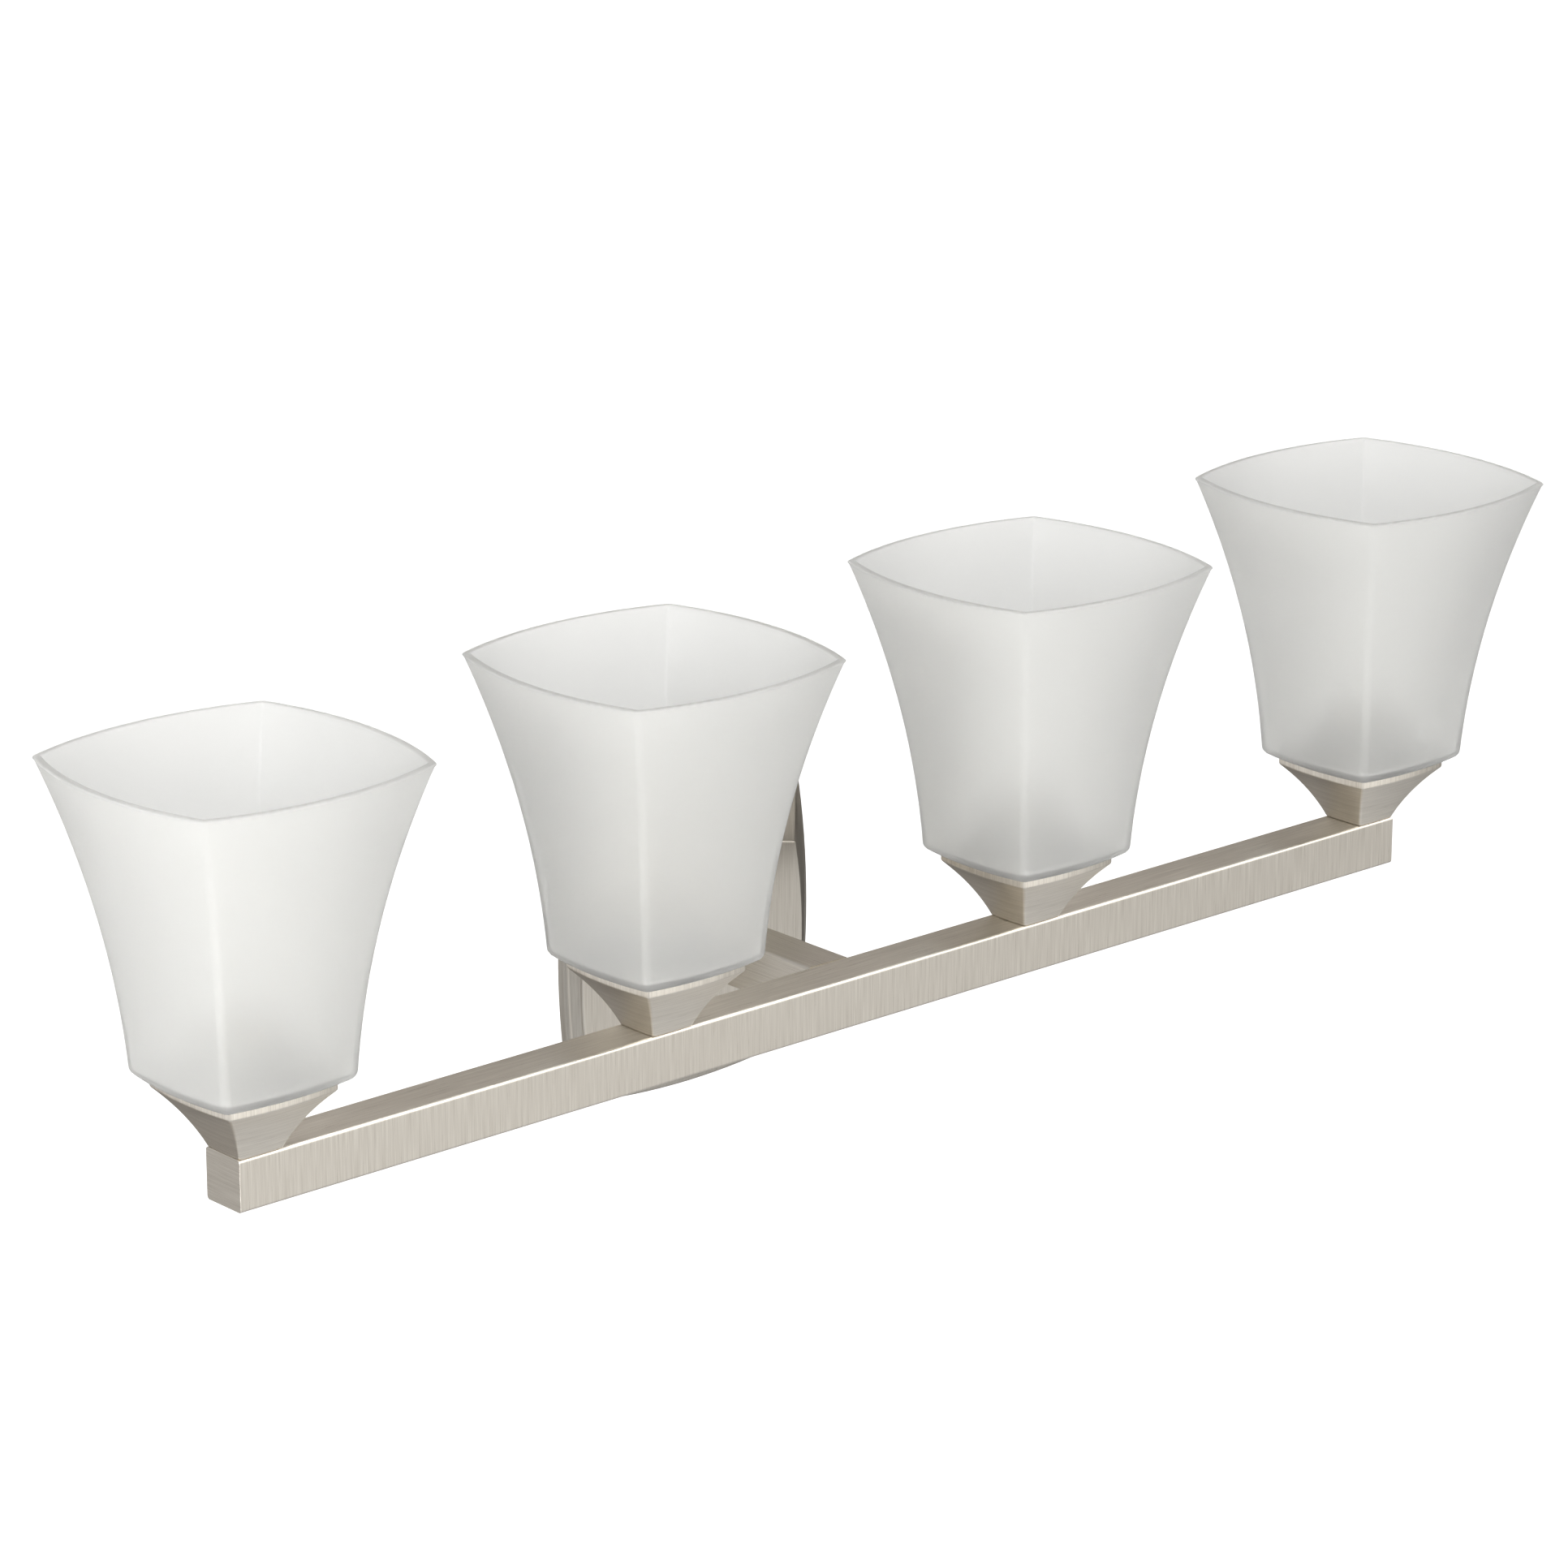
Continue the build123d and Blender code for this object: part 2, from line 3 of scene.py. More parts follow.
import bmesh
import bpy
import numpy as np
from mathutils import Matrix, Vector


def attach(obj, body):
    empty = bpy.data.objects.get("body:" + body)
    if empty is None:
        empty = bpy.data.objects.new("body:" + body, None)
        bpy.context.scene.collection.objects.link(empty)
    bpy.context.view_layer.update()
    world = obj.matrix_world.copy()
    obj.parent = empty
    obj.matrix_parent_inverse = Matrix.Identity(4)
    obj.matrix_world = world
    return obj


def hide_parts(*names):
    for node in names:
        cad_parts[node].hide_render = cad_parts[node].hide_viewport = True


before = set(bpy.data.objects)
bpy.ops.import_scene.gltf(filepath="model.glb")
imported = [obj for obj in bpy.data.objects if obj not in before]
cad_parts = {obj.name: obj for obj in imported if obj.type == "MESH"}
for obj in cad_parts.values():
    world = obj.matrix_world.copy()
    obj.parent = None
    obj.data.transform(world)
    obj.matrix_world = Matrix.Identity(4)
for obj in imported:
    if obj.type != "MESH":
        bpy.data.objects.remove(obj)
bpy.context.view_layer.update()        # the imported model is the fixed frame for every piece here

millimetre = 0.001
scene = bpy.context.scene

# Camera, studio and light

studio = {
    "cameraPlace": (-1.8414, -2.1612, 0.9823),   # metres, from the middle of the canopy's back
    "cameraDown": 17.68,        # degrees below level
    "cameraTurn": 41.471,       # degrees to the right of straight at the wall
    "cameraLens": 137.55,       # mm on a 36 mm sensor
    "floorDrop": 0.42,          # m below the canopy's middle
    "floorReach": 14.0,
    "floorColour": (0.92, 0.92, 0.91),
    "floorRoughness": 0.9,
    "floorGlow": 0.75,
    "skyLow": 0.74,             # brightness straight down
    "skySide": 0.55,
    "skyHigh": 0.50,
    "sideFrom": 0.35,           # share of the way up where the side tone starts and ends
    "sideTo": 0.62,
    "skyThrough": 0.84,         # brightness seen through the glass
    "lightsAimAt": (0, -0.12, 0.08),
}
sensorWidth = 36                # mm


def newMaterial(name):
    material = bpy.data.materials.new(name)
    material.use_nodes = True
    nodes = material.node_tree.nodes
    return material, nodes, material.node_tree.links, nodes["Principled BSDF"]


def addNode(nodes, kind, inputs=None, **settings):
    node = nodes.new(kind)
    for key, value in settings.items():
        setattr(node, key, value)
    for key, value in (inputs or {}).items():
        node.inputs[key].default_value = value
    return node


def colourRamp(nodes, stops):
    ramp = nodes.new("ShaderNodeValToRGB")
    for end in (0, -1):
        ramp.color_ramp.elements[end].position = stops[end][0]
        ramp.color_ramp.elements[end].color = (*stops[end][1], 1)
    for position, colour in stops[1:-1]:
        ramp.color_ramp.elements.new(position).color = (*colour, 1)
    return ramp


def makeCamera():
    data = bpy.data.cameras.new("productCamera")
    data.lens = studio["cameraLens"]
    data.sensor_width = sensorWidth
    data.clip_end = 100     # m
    camera = bpy.data.objects.new("productCamera", data)
    scene.collection.objects.link(camera)
    camera.location = studio["cameraPlace"]
    camera.rotation_euler = (radians(90 - studio["cameraDown"]), 0, radians(-studio["cameraTurn"]))
    scene.camera = camera


def makeFloor():
    reach = studio["floorReach"]
    drop = -studio["floorDrop"]
    corners = [(-reach, -reach, drop), (reach, -reach, drop), (reach, reach, drop), (-reach, reach, drop)]
    mesh = bpy.data.meshes.new("paleFloor")
    mesh.from_pydata(corners, [], [(0, 1, 2, 3)])
    floor = bpy.data.objects.new("paleFloor", mesh)
    scene.collection.objects.link(floor)
    material, nodes, links, shader = newMaterial("paleFloor")
    shader.inputs["Base Color"].default_value = (*studio["floorColour"], 1)
    shader.inputs["Roughness"].default_value = studio["floorRoughness"]
    shader.inputs["Emission Color"].default_value = (1, 1, 1, 1)
    shader.inputs["Emission Strength"].default_value = studio["floorGlow"]
    facing = addNode(nodes, "ShaderNodeNewGeometry")
    clear = addNode(nodes, "ShaderNodeBsdfTransparent")
    mix = addNode(nodes, "ShaderNodeMixShader")       # seen from below the floor lets the light through
    links.new(facing.outputs["Backfacing"], mix.inputs["Fac"])
    links.new(shader.outputs[0], mix.inputs[1])
    links.new(clear.outputs[0], mix.inputs[2])
    links.new(mix.outputs[0], nodes["Material Output"].inputs["Surface"])
    mesh.materials.append(material)
    for kind in ("glossy", "diffuse", "transmission", "shadow"):
        setattr(floor, "visible_" + kind, False)


# Soft bright areas: direction, cosine where each starts and is full, added light, and whether
# only mirroring surfaces get it
lobes = {
    "frontLow": ((0.36, -0.86, -0.33), 0.80, 0.98, (0.46, 0.45, 0.43), False),
    "frontLevel": ((0.63, -0.74, 0.16), 0.92, 0.99, (1.10, 1.06, 1.00), False),
    "wallSide": ((-0.63, 0.71, -0.33), 0.88, 0.99, (0.18, 0.17, 0.16), False),
    "keyHigh": ((0.63, -0.36, 0.69), 0.72, 0.95, (3.20, 3.12, 3.00), True),
}
# Dimmer quarters of the studio: direction, cosine where each starts and is full, light left there
shadows = {
    "behind": ((0.62, 0.74, 0.26), 0.55, 0.95, (0.42, 0.39, 0.36)),
    "leftLow": ((-0.12, 0.72, -0.68), 0.80, 0.95, (0.31, 0.29, 0.27)),
    "right": ((0.98, 0.00, -0.05), 0.62, 0.90, (0.10, 0.095, 0.09)),
    "underEdge": ((0.63, 0.62, -0.46), 0.86, 0.96, (0.10, 0.09, 0.08)),
}


def makeWorld():
    world = bpy.data.worlds.new("studioWorld")
    world.use_nodes = True
    nodes, links = world.node_tree.nodes, world.node_tree.links
    nodes.clear()
    direction = addNode(nodes, "ShaderNodeTexCoord")

    def lobe(towards, start, full):
        facing = addNode(nodes, "ShaderNodeVectorMath", operation="DOT_PRODUCT")
        facing.inputs[1].default_value = Vector(towards).normalized()
        links.new(direction.outputs["Generated"], facing.inputs[0])
        share = addNode(nodes, "ShaderNodeMapRange", {"From Min": start, "From Max": full},
                        interpolation_type="SMOOTHSTEP")
        links.new(facing.outputs["Value"], share.inputs["Value"])
        return share.outputs[0]

    split = addNode(nodes, "ShaderNodeSeparateXYZ")
    links.new(direction.outputs["Generated"], split.inputs[0])
    level = addNode(nodes, "ShaderNodeMapRange", {"From Min": -1, "From Max": 1})
    links.new(split.outputs["Z"], level.inputs["Value"])
    low, side, high = (studio[key] for key in ("skyLow", "skySide", "skyHigh"))
    steps = ((0.0, low), (studio["sideFrom"], side), (studio["sideTo"], side), (1.0, high))
    ramp = colourRamp(nodes, [(position, (tone, tone, tone)) for position, tone in steps])
    links.new(level.outputs[0], ramp.inputs[0])

    def blended(light, share, colour, way="MIX"):
        mix = addNode(nodes, "ShaderNodeMix", {"B": (*colour, 1)}, data_type="RGBA", blend_type=way)
        links.new(share, mix.inputs["Factor"])
        links.new(light, mix.inputs["A"])
        return mix.outputs["Result"]

    light = ramp.outputs["Color"]
    seen = addNode(nodes, "ShaderNodeLightPath")
    for towards, start, full, colour, mirroredOnly in lobes.values():
        share = lobe(towards, start, full)
        if mirroredOnly:
            both = addNode(nodes, "ShaderNodeMath", operation="MULTIPLY")
            links.new(share, both.inputs[0])
            links.new(seen.outputs["Is Glossy Ray"], both.inputs[1])
            share = both.outputs[0]
        light = blended(light, share, colour, "ADD")
    for towards, start, full, colour in shadows.values():
        light = blended(light, lobe(towards, start, full), colour)
    # What lies behind the frosted walls
    light = blended(light, seen.outputs["Is Transmission Ray"], (studio["skyThrough"],) * 3)
    studioLight = addNode(nodes, "ShaderNodeBackground")
    links.new(light, studioLight.inputs["Color"])
    paper = addNode(nodes, "ShaderNodeBackground", {"Color": (1, 1, 1, 1), "Strength": 1.0})
    mix = addNode(nodes, "ShaderNodeMixShader")       # white paper in view, the studio in the reflections
    links.new(seen.outputs["Is Camera Ray"], mix.inputs["Fac"])
    links.new(studioLight.outputs[0], mix.inputs[1])
    links.new(paper.outputs[0], mix.inputs[2])
    output = addNode(nodes, "ShaderNodeOutputWorld")
    links.new(mix.outputs[0], output.inputs["Surface"])
    scene.world = world


softBoxes = {   # place in metres, width, height, watts, colour
    "keySoftBox": ((-1.15, -1.60, 0.35), 0.9, 0.9, 29, (1.0, 0.99, 0.97)),
    "sideSoftBox": ((-2.20, -0.50, 0.35), 1.0, 1.0, 32, (1.0, 1.0, 0.99)),
}


def makeLights():
    middle = Vector(studio["lightsAimAt"])
    for name, (place, width, height, watts, colour) in softBoxes.items():
        data = bpy.data.lights.new(name, "AREA")
        data.shape = "RECTANGLE"
        data.size, data.size_y = width, height
        data.energy = watts
        data.color = colour
        light = bpy.data.objects.new(name, data)
        scene.collection.objects.link(light)
        light.location = place
        light.rotation_mode = "QUATERNION"
        light.rotation_quaternion = (middle - light.location).to_track_quat("-Z", "Y")


scene.view_settings.view_transform = "Standard"
scene.view_settings.look = "None"
makeCamera()
makeWorld()
makeLights()
makeFloor()
print("studio ready")

# Finishes

nickel = {
    "dark": (0.545, 0.505, 0.448),
    "light": (0.815, 0.778, 0.708),
    "roughness": 0.34,
    "stretch": 0.72,            # how much longer a highlight is across the brushing than along it
    "lineWidth": 0.00030,       # m
    "lineLength": 0.030,
    "lineDepth": 0.08,
    "bandShare": 0.30,          # how much of the tone comes from the broad bands
    "bandScale": (0.16, 0.5, 0.5),
    "glossSwing": 0.07,
}
noiseLow, noiseHigh = 0.3, 0.7      # where a noise texture's useful range starts and ends
toneLow, toneHigh = 0.35, 0.65      # where its two tones are full
fineRelief = 0.0002                 # m


def noiseOn(nodes, links, places, scale=1, detail=2, roughness=0.5):
    noise = addNode(nodes, "ShaderNodeTexNoise", {"Scale": scale, "Detail": detail, "Roughness": roughness})
    links.new(places, noise.inputs["Vector"])
    return noise


def twoTones(nodes, links, shader, source, dark, light, low=toneLow, high=toneHigh):
    ramp = colourRamp(nodes, [(low, dark), (high, light)])
    links.new(source, ramp.inputs[0])
    links.new(ramp.outputs["Color"], shader.inputs["Base Color"])


def glossAndRelief(nodes, links, shader, pattern, roughness, swing, strength, height=fineRelief):
    # Lets one noise vary the gloss and raise a fine relief
    rough = addNode(nodes, "ShaderNodeMapRange", {"From Min": noiseLow, "From Max": noiseHigh,
                                                  "To Min": roughness - swing, "To Max": roughness + swing})
    links.new(pattern.outputs["Fac"], rough.inputs["Value"])
    links.new(rough.outputs[0], shader.inputs["Roughness"])
    bump = addNode(nodes, "ShaderNodeBump", {"Strength": strength, "Distance": height})
    links.new(pattern.outputs["Fac"], bump.inputs["Height"])
    links.new(bump.outputs[0], shader.inputs["Normal"])


def brushedNickel(name, grain=True, depth=1.0, shade=1.0):
    # Fine brushing along V of the piece's own grain map, or along Z without one
    material, nodes, links, shader = newMaterial(name)
    width, length = 1 / nickel["lineWidth"], 1 / nickel["lineLength"]
    if grain:
        place = addNode(nodes, "ShaderNodeUVMap", uv_map="grain")
        tangent = addNode(nodes, "ShaderNodeTangent", direction_type="UV_MAP", uv_map="grain")
        links.new(tangent.outputs[0], shader.inputs["Tangent"])
        shader.inputs["Anisotropic"].default_value = nickel["stretch"]
        source = place.outputs[0]
        scales = (width, length, 1)
    else:
        place = addNode(nodes, "ShaderNodeTexCoord")
        source = place.outputs["Object"]
        scales = (width, width, length)
    fine = addNode(nodes, "ShaderNodeMapping")
    fine.inputs["Scale"].default_value = scales
    links.new(source, fine.inputs["Vector"])
    lines = noiseOn(nodes, links, fine.outputs[0], detail=3, roughness=0.6)
    broad = addNode(nodes, "ShaderNodeMapping")
    broad.inputs["Scale"].default_value = [value * share for value, share in zip(scales, nickel["bandScale"])]
    links.new(source, broad.inputs["Vector"])
    bands = noiseOn(nodes, links, broad.outputs[0])
    blend = addNode(nodes, "ShaderNodeMix", {"Factor": nickel["bandShare"]}, data_type="FLOAT")
    links.new(lines.outputs["Fac"], blend.inputs["A"])
    links.new(bands.outputs["Fac"], blend.inputs["B"])
    # shade scales both tones: the canopy and border copies below 1 carry painted shade, the rim band copy
    # above 1 a painted highlight
    dark, light = (tuple(value * shade for value in nickel[tone]) for tone in ("dark", "light"))
    twoTones(nodes, links, shader, blend.outputs["Result"], dark, light, noiseLow, noiseHigh)
    shader.inputs["Metallic"].default_value = 1.0
    glossAndRelief(nodes, links, shader, lines, nickel["roughness"], nickel["glossSwing"],
                   nickel["lineDepth"] * depth)
    return material


glassFinish = {
    "tint": (0.955, 0.955, 0.94),
    "body": (0.93, 0.93, 0.915),
    "roughness": 0.48,
    "through": 0.84,            # share of the light that passes the wall
    "grainSize": 0.0006,        # m, the acid etch
    "cloudScale": 14,           # per metre, the uneven tone
    "glossSwing": 0.06,
    "etchDepth": 0.03,
    "refraction": 1.5,
}


def etchedGlass():
    material, nodes, links, shader = newMaterial("etchedGlass")
    places = addNode(nodes, "ShaderNodeTexCoord").outputs["Object"]
    etch = noiseOn(nodes, links, places, 1 / glassFinish["grainSize"])
    cloud = noiseOn(nodes, links, places, glassFinish["cloudScale"])
    twoTones(nodes, links, shader, cloud.outputs["Fac"], glassFinish["body"], glassFinish["tint"])
    shader.inputs["Transmission Weight"].default_value = glassFinish["through"]
    shader.inputs["IOR"].default_value = glassFinish["refraction"]
    glossAndRelief(nodes, links, shader, etch, glassFinish["roughness"], glassFinish["glossSwing"],
                   glassFinish["etchDepth"])
    return material


mottle = {"toneScale": 0.25, "glossSwing": 0.08, "relief": 0.0001}


def mottledFinish(name, dark, light, roughness, grainSize, metallic=0.0, strength=0.1):
    # A cast, plated, moulded or drawn surface: two close tones, uneven gloss and a fine relief
    material, nodes, links, shader = newMaterial(name)
    places = addNode(nodes, "ShaderNodeTexCoord").outputs["Object"]
    tone = noiseOn(nodes, links, places, mottle["toneScale"] / grainSize, 4, 0.6)
    twoTones(nodes, links, shader, tone.outputs["Fac"], dark, light)
    shader.inputs["Metallic"].default_value = metallic
    fine = noiseOn(nodes, links, places, 1 / grainSize, 3)
    glossAndRelief(nodes, links, shader, fine, roughness, mottle["glossSwing"], strength, mottle["relief"])
    return material


# Slot: material name, dark tone, light tone, roughness, grain in metres, metallic, relief
mottledSlots = {
    "grey_phenolic": ("greyPhenolic", (0.20, 0.20, 0.195), (0.30, 0.30, 0.29), 0.38, 0.0008),
    "nickel_plated_brass": ("platedBrass", (0.58, 0.55, 0.49), (0.74, 0.71, 0.64), 0.24, 0.0005, 1.0),
    "spring_brass": ("springBrass", (0.62, 0.45, 0.20), (0.80, 0.61, 0.30), 0.30, 0.0005, 1.0),
    "grey_fibre": ("greyFibre", (0.20, 0.20, 0.20), (0.34, 0.335, 0.33), 0.85, 0.0004, 0.0, 0.5),
    "zinc_plated_steel": ("zincSteel", (0.50, 0.52, 0.54), (0.72, 0.73, 0.73), 0.36, 0.0015, 1.0),
    "green_steel": ("greenSteel", (0.02, 0.20, 0.06), (0.05, 0.32, 0.11), 0.35, 0.0006, 0.8),
    "bare_copper": ("bareCopper", (0.62, 0.28, 0.16), (0.86, 0.46, 0.30), 0.32, 0.0004, 1.0),
    "black_insulation": ("blackInsulation", (0.012, 0.012, 0.013), (0.03, 0.03, 0.032), 0.45, 0.0004),
    "white_insulation": ("whiteInsulation", (0.72, 0.71, 0.68), (0.82, 0.81, 0.78), 0.45, 0.0004),
    "tinned_copper": ("tinnedCopper", (0.60, 0.60, 0.60), (0.80, 0.79, 0.77), 0.30, 0.0004, 1.0),
    "orange_plastic": ("orangePlastic", (0.78, 0.22, 0.02), (0.90, 0.32, 0.05), 0.40, 0.0005),
}
finishes = {"brushed_nickel": brushedNickel("brushedNickelPlain", grain=False), "etched_glass": etchedGlass()}
finishes.update({slot: mottledFinish(*look) for slot, look in mottledSlots.items()})
grainNickel = brushedNickel("brushedNickel")
# a darker copy of the nickel for the whole canopy: painted shade
paintedShadeCanopyNickel = brushedNickel("paintedShadeCanopyNickel", shade=0.88)
paintedShadeBorderNickel = brushedNickel("paintedShadeBorderNickel", shade=0.70)      # a darker copy of the nickel on the canopy's border: painted shade
paintedHighlightBandNickel = brushedNickel("paintedHighlightBandNickel", depth=0.5, shade=1.2)      # a lighter copy of the nickel, with shallower lines, on each holder's rim band: painted highlight
print("finishes ready")

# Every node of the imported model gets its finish; the visible ones are replaced further on
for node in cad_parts.values():
    for slot in node.material_slots:
        slot.material = finishes[slot.material.name.split(".")[0]]

# Mesh helpers

weldDistance, sliver = 1e-6, 1e-7      # m
quarterTurn = pi / 2

lamps = {"count": 4, "spacing": 0.2413, "wallToBar": 0.123, "barHalf": 0.0127}
lampPlaces = [((i - (lamps["count"] - 1) / 2) * lamps["spacing"], -lamps["wallToBar"], lamps["barHalf"])
              for i in range(lamps["count"])]


def arcAngles(first, last, count):
    # Angles from first up to the one before last
    return np.linspace(first, last, count + 1)[:-1]


def bowedRing(halfX, halfY, bowX, bowY, corner, perSide=16, perCorner=6):
    # A rectangle with sides bowed outwards and rounded corners, as an anticlockwise ring of 2D points
    centreX = halfX - sqrt(bowX**2 - halfY**2)
    centreY = halfY - sqrt(bowY**2 - halfX**2)
    reachX, reachY = bowX - corner, bowY - corner
    gap = hypot(centreX, centreY)
    along = (reachX**2 - reachY**2 + gap**2) / (2 * gap)
    across = sqrt(reachX**2 - along**2)
    unitX, unitY = -centreX / gap, centreY / gap
    cornerX = centreX + along * unitX - across * unitY
    cornerY = along * unitY + across * unitX
    turnX = np.arctan2(cornerY, cornerX - centreX)
    turnY = np.arctan2(cornerX, cornerY - centreY)
    rightSide = [(centreX + bowX * cos(a), bowX * sin(a)) for a in arcAngles(-turnX, turnX, perSide)]
    nearCorner = [(cornerX + corner * cos(a), cornerY + corner * sin(a))
                  for a in arcAngles(turnX, quarterTurn - turnY, perCorner)]
    topSide = [(bowY * sin(a), centreY + bowY * cos(a)) for a in arcAngles(turnY, -turnY, perSide)]
    farCorner = [(-cornerX - corner * sin(a), cornerY + corner * cos(a))
                 for a in arcAngles(turnY, quarterTurn - turnX, perCorner)]
    half = rightSide + nearCorner + topSide + farCorner
    return half + [(-x, -y) for x, y in half]


def squareRing(half, corner, perSide=3, perCorner=6):
    ring = []
    flat = half - corner      # half the straight run of a side
    for quarter in range(4):
        turn = quarter * quarterTurn
        points = [(half, flat * (2 * i / perSide - 1)) for i in range(perSide)]
        points += [(flat + corner * cos(a), flat + corner * sin(a))
                   for a in arcAngles(0, quarterTurn, perCorner)]
        ring += [(x * cos(turn) - y * sin(turn), x * sin(turn) + y * cos(turn)) for x, y in points]
    return ring


def roundRing(radius, like):
    # A circle with a point at the same angle as each point of another ring
    return [(radius * x / hypot(x, y), radius * y / hypot(x, y)) for x, y in like]


def bend(first, middle, last, count=5):
    # A smooth turn from first to last, pulled towards middle
    shares = np.linspace(0, 1, count)
    return [tuple((1 - t)**2 * a + 2 * t * (1 - t) * b + t**2 * c for a, b, c in zip(first, middle, last))
            for t in shares]


def spread(low, high, count):
    return [low + (high - low) * i / (count - 1) for i in range(count)]


def flareHalf(low, high, height, radius, z):
    # Half-width at z on the hollow arc that joins the low and high half-widths
    widening = high - low
    chord = hypot(widening, height)
    reach = sqrt(radius**2 - (chord / 2)**2)
    centreHalf = (low + high) / 2 + reach * height / chord
    centreZ = height / 2 - reach * widening / chord
    return centreHalf - sqrt(radius**2 - (z - centreZ)**2)


def tidyMesh(mesh, sharpAngle):
    edit = bmesh.new()
    edit.from_mesh(mesh)
    bmesh.ops.remove_doubles(edit, verts=edit.verts, dist=weldDistance)
    bmesh.ops.dissolve_degenerate(edit, edges=edit.edges, dist=sliver)
    bmesh.ops.delete(edit, geom=[edge for edge in edit.edges if not edge.link_faces], context="EDGES")
    bmesh.ops.recalc_face_normals(edit, faces=edit.faces)
    edit.to_mesh(mesh)
    edit.free()
    mesh.shade_smooth()
    mesh.set_sharp_from_angle(angle=radians(sharpAngle))


def loftMesh(name, rings, sharpAngle, grainOf=None, closed=True):
    # Joins rings of equal length; the grain map is in metres, U across the brushing and V along it
    rings = np.array(rings, float)
    levels, around = rings.shape[:2]
    faces, corners = [], []
    step = np.linalg.norm(np.roll(rings, -1, axis=1) - rings, axis=2)
    aroundAt = np.concatenate([np.zeros((levels, 1)), np.cumsum(step, axis=1)], axis=1)
    rise = np.linalg.norm(np.roll(rings, -1, axis=0) - rings, axis=2).max(axis=1)
    pathAt = np.concatenate([[0], np.cumsum(rise)])
    for i in range(levels if closed else levels - 1):
        for j in range(around):
            low, high, after = i, (i + 1) % levels, (j + 1) % around
            faces.append((low * around + j, low * around + after, high * around + after, high * around + j))
            corners.append(((aroundAt[low, j], pathAt[i]), (aroundAt[low, j + 1], pathAt[i]),
                            (aroundAt[high, j + 1], pathAt[i + 1]), (aroundAt[high, j], pathAt[i + 1])))
    mesh = bpy.data.meshes.new(name)
    mesh.from_pydata(rings.reshape(-1, 3), [], faces)
    grainMap = mesh.uv_layers.new(name="grain")
    for face, places in zip(mesh.polygons, corners):
        kind = grainOf(face.normal, face.center) if grainOf else "path"
        for loop, place in zip(face.loop_indices, places):
            point = mesh.vertices[mesh.loops[loop].vertex_index].co
            if kind == "around":
                grainMap.data[loop].uv = (place[1], place[0])
            elif kind == "path":
                grainMap.data[loop].uv = place
            else:
                grainMap.data[loop].uv = (point.dot(Vector(kind[0])), point.dot(Vector(kind[1])))
    tidyMesh(mesh, sharpAngle)
    return mesh


def placeMesh(name, mesh):
    piece = bpy.data.objects.new(name, mesh)
    scene.collection.objects.link(piece)
    return piece


def settle(piece):
    # Applies the live modifiers, so that a plain mesh is left
    evaluated = piece.evaluated_get(bpy.context.evaluated_depsgraph_get())
    mesh = bpy.data.meshes.new_from_object(evaluated)
    old = piece.data
    piece.modifiers.clear()
    piece.data = mesh
    bpy.data.meshes.remove(old)


drillLength, drillSides = 0.008, 48


def drill(piece, holes):
    # Cuts round holes, each given by its middle, axis and radius
    for middle, axis, radius in holes:
        cutter = bmesh.new()
        bmesh.ops.create_cone(cutter, cap_ends=True, segments=drillSides, radius1=radius, radius2=radius,
                              depth=drillLength)
        turn = Vector(axis).to_track_quat("Z", "Y").to_matrix().to_4x4()
        turn.translation = middle
        bmesh.ops.transform(cutter, matrix=turn, verts=cutter.verts)
        mesh = bpy.data.meshes.new("cutter")
        cutter.to_mesh(mesh)
        cutter.free()
        tool = placeMesh("cutter", mesh)
        cut = piece.modifiers.new("hole", "BOOLEAN")
        cut.operation = "DIFFERENCE"
        cut.solver = "EXACT"
        cut.object = tool
        bpy.context.view_layer.update()
        settle(piece)
        bpy.data.objects.remove(tool)
        bpy.data.meshes.remove(mesh)


def finishPiece(piece, body, node, slotName, material=None, weigh=True):
    piece.data.materials.clear()
    piece.data.materials.append(material or finishes[slotName])
    if weigh:
        even = piece.modifiers.new("even", "WEIGHTED_NORMAL")
        even.keep_sharp = True
        bpy.context.view_layer.update()
        settle(piece)
    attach(piece, body)
    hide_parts(node)


def paintFaces(piece, material, chosen):
    # Gives the chosen faces a second finish
    piece.data.materials.append(material)
    for face in piece.data.polygons:
        if chosen(face.center):
            face.material_index = len(piece.data.materials) - 1


def standingAt(place):
    # From a piece's own millimetres to metres in the frame
    return lambda x, y, z: (place[0] + x * millimetre, place[1] + y * millimetre, place[2] + z * millimetre)


def laidAt(rings, place):
    # 2D rings and their heights, in millimetres, laid level above a place
    lay = standingAt(place)
    return [[lay(x, y, z) for x, y in ring] for ring, z in rings]


# Glass shades

shade = {   # mm
    "height": 149.0, "footHalf": 36.9, "rimHalf": 63.5, "flareRadius": 600.0,
    "sideBow": 172.0, "corner": 5.0, "leastCorner": 0.4, "wall": 3.2, "floor": 4.0,
    "footRound": 4.6, "innerRound": 1.6, "rimRound": 0.9, "hole": 42.0, "holeEdge": 0.3, "stand": 33.0,
    "margin": 1.0, "outerLevels": 28, "innerLevels": 26, "sharpAngle": 50,
}


def shadeRing(z, inset):
    half = flareHalf(shade["footHalf"], shade["rimHalf"], shade["height"], shade["flareRadius"], z)
    bow = shade["sideBow"] - inset
    corner = max(shade["corner"] - inset, shade["leastCorner"])
    return bowedRing(half - inset, half - inset, bow, bow, corner, perSide=20, perCorner=8)


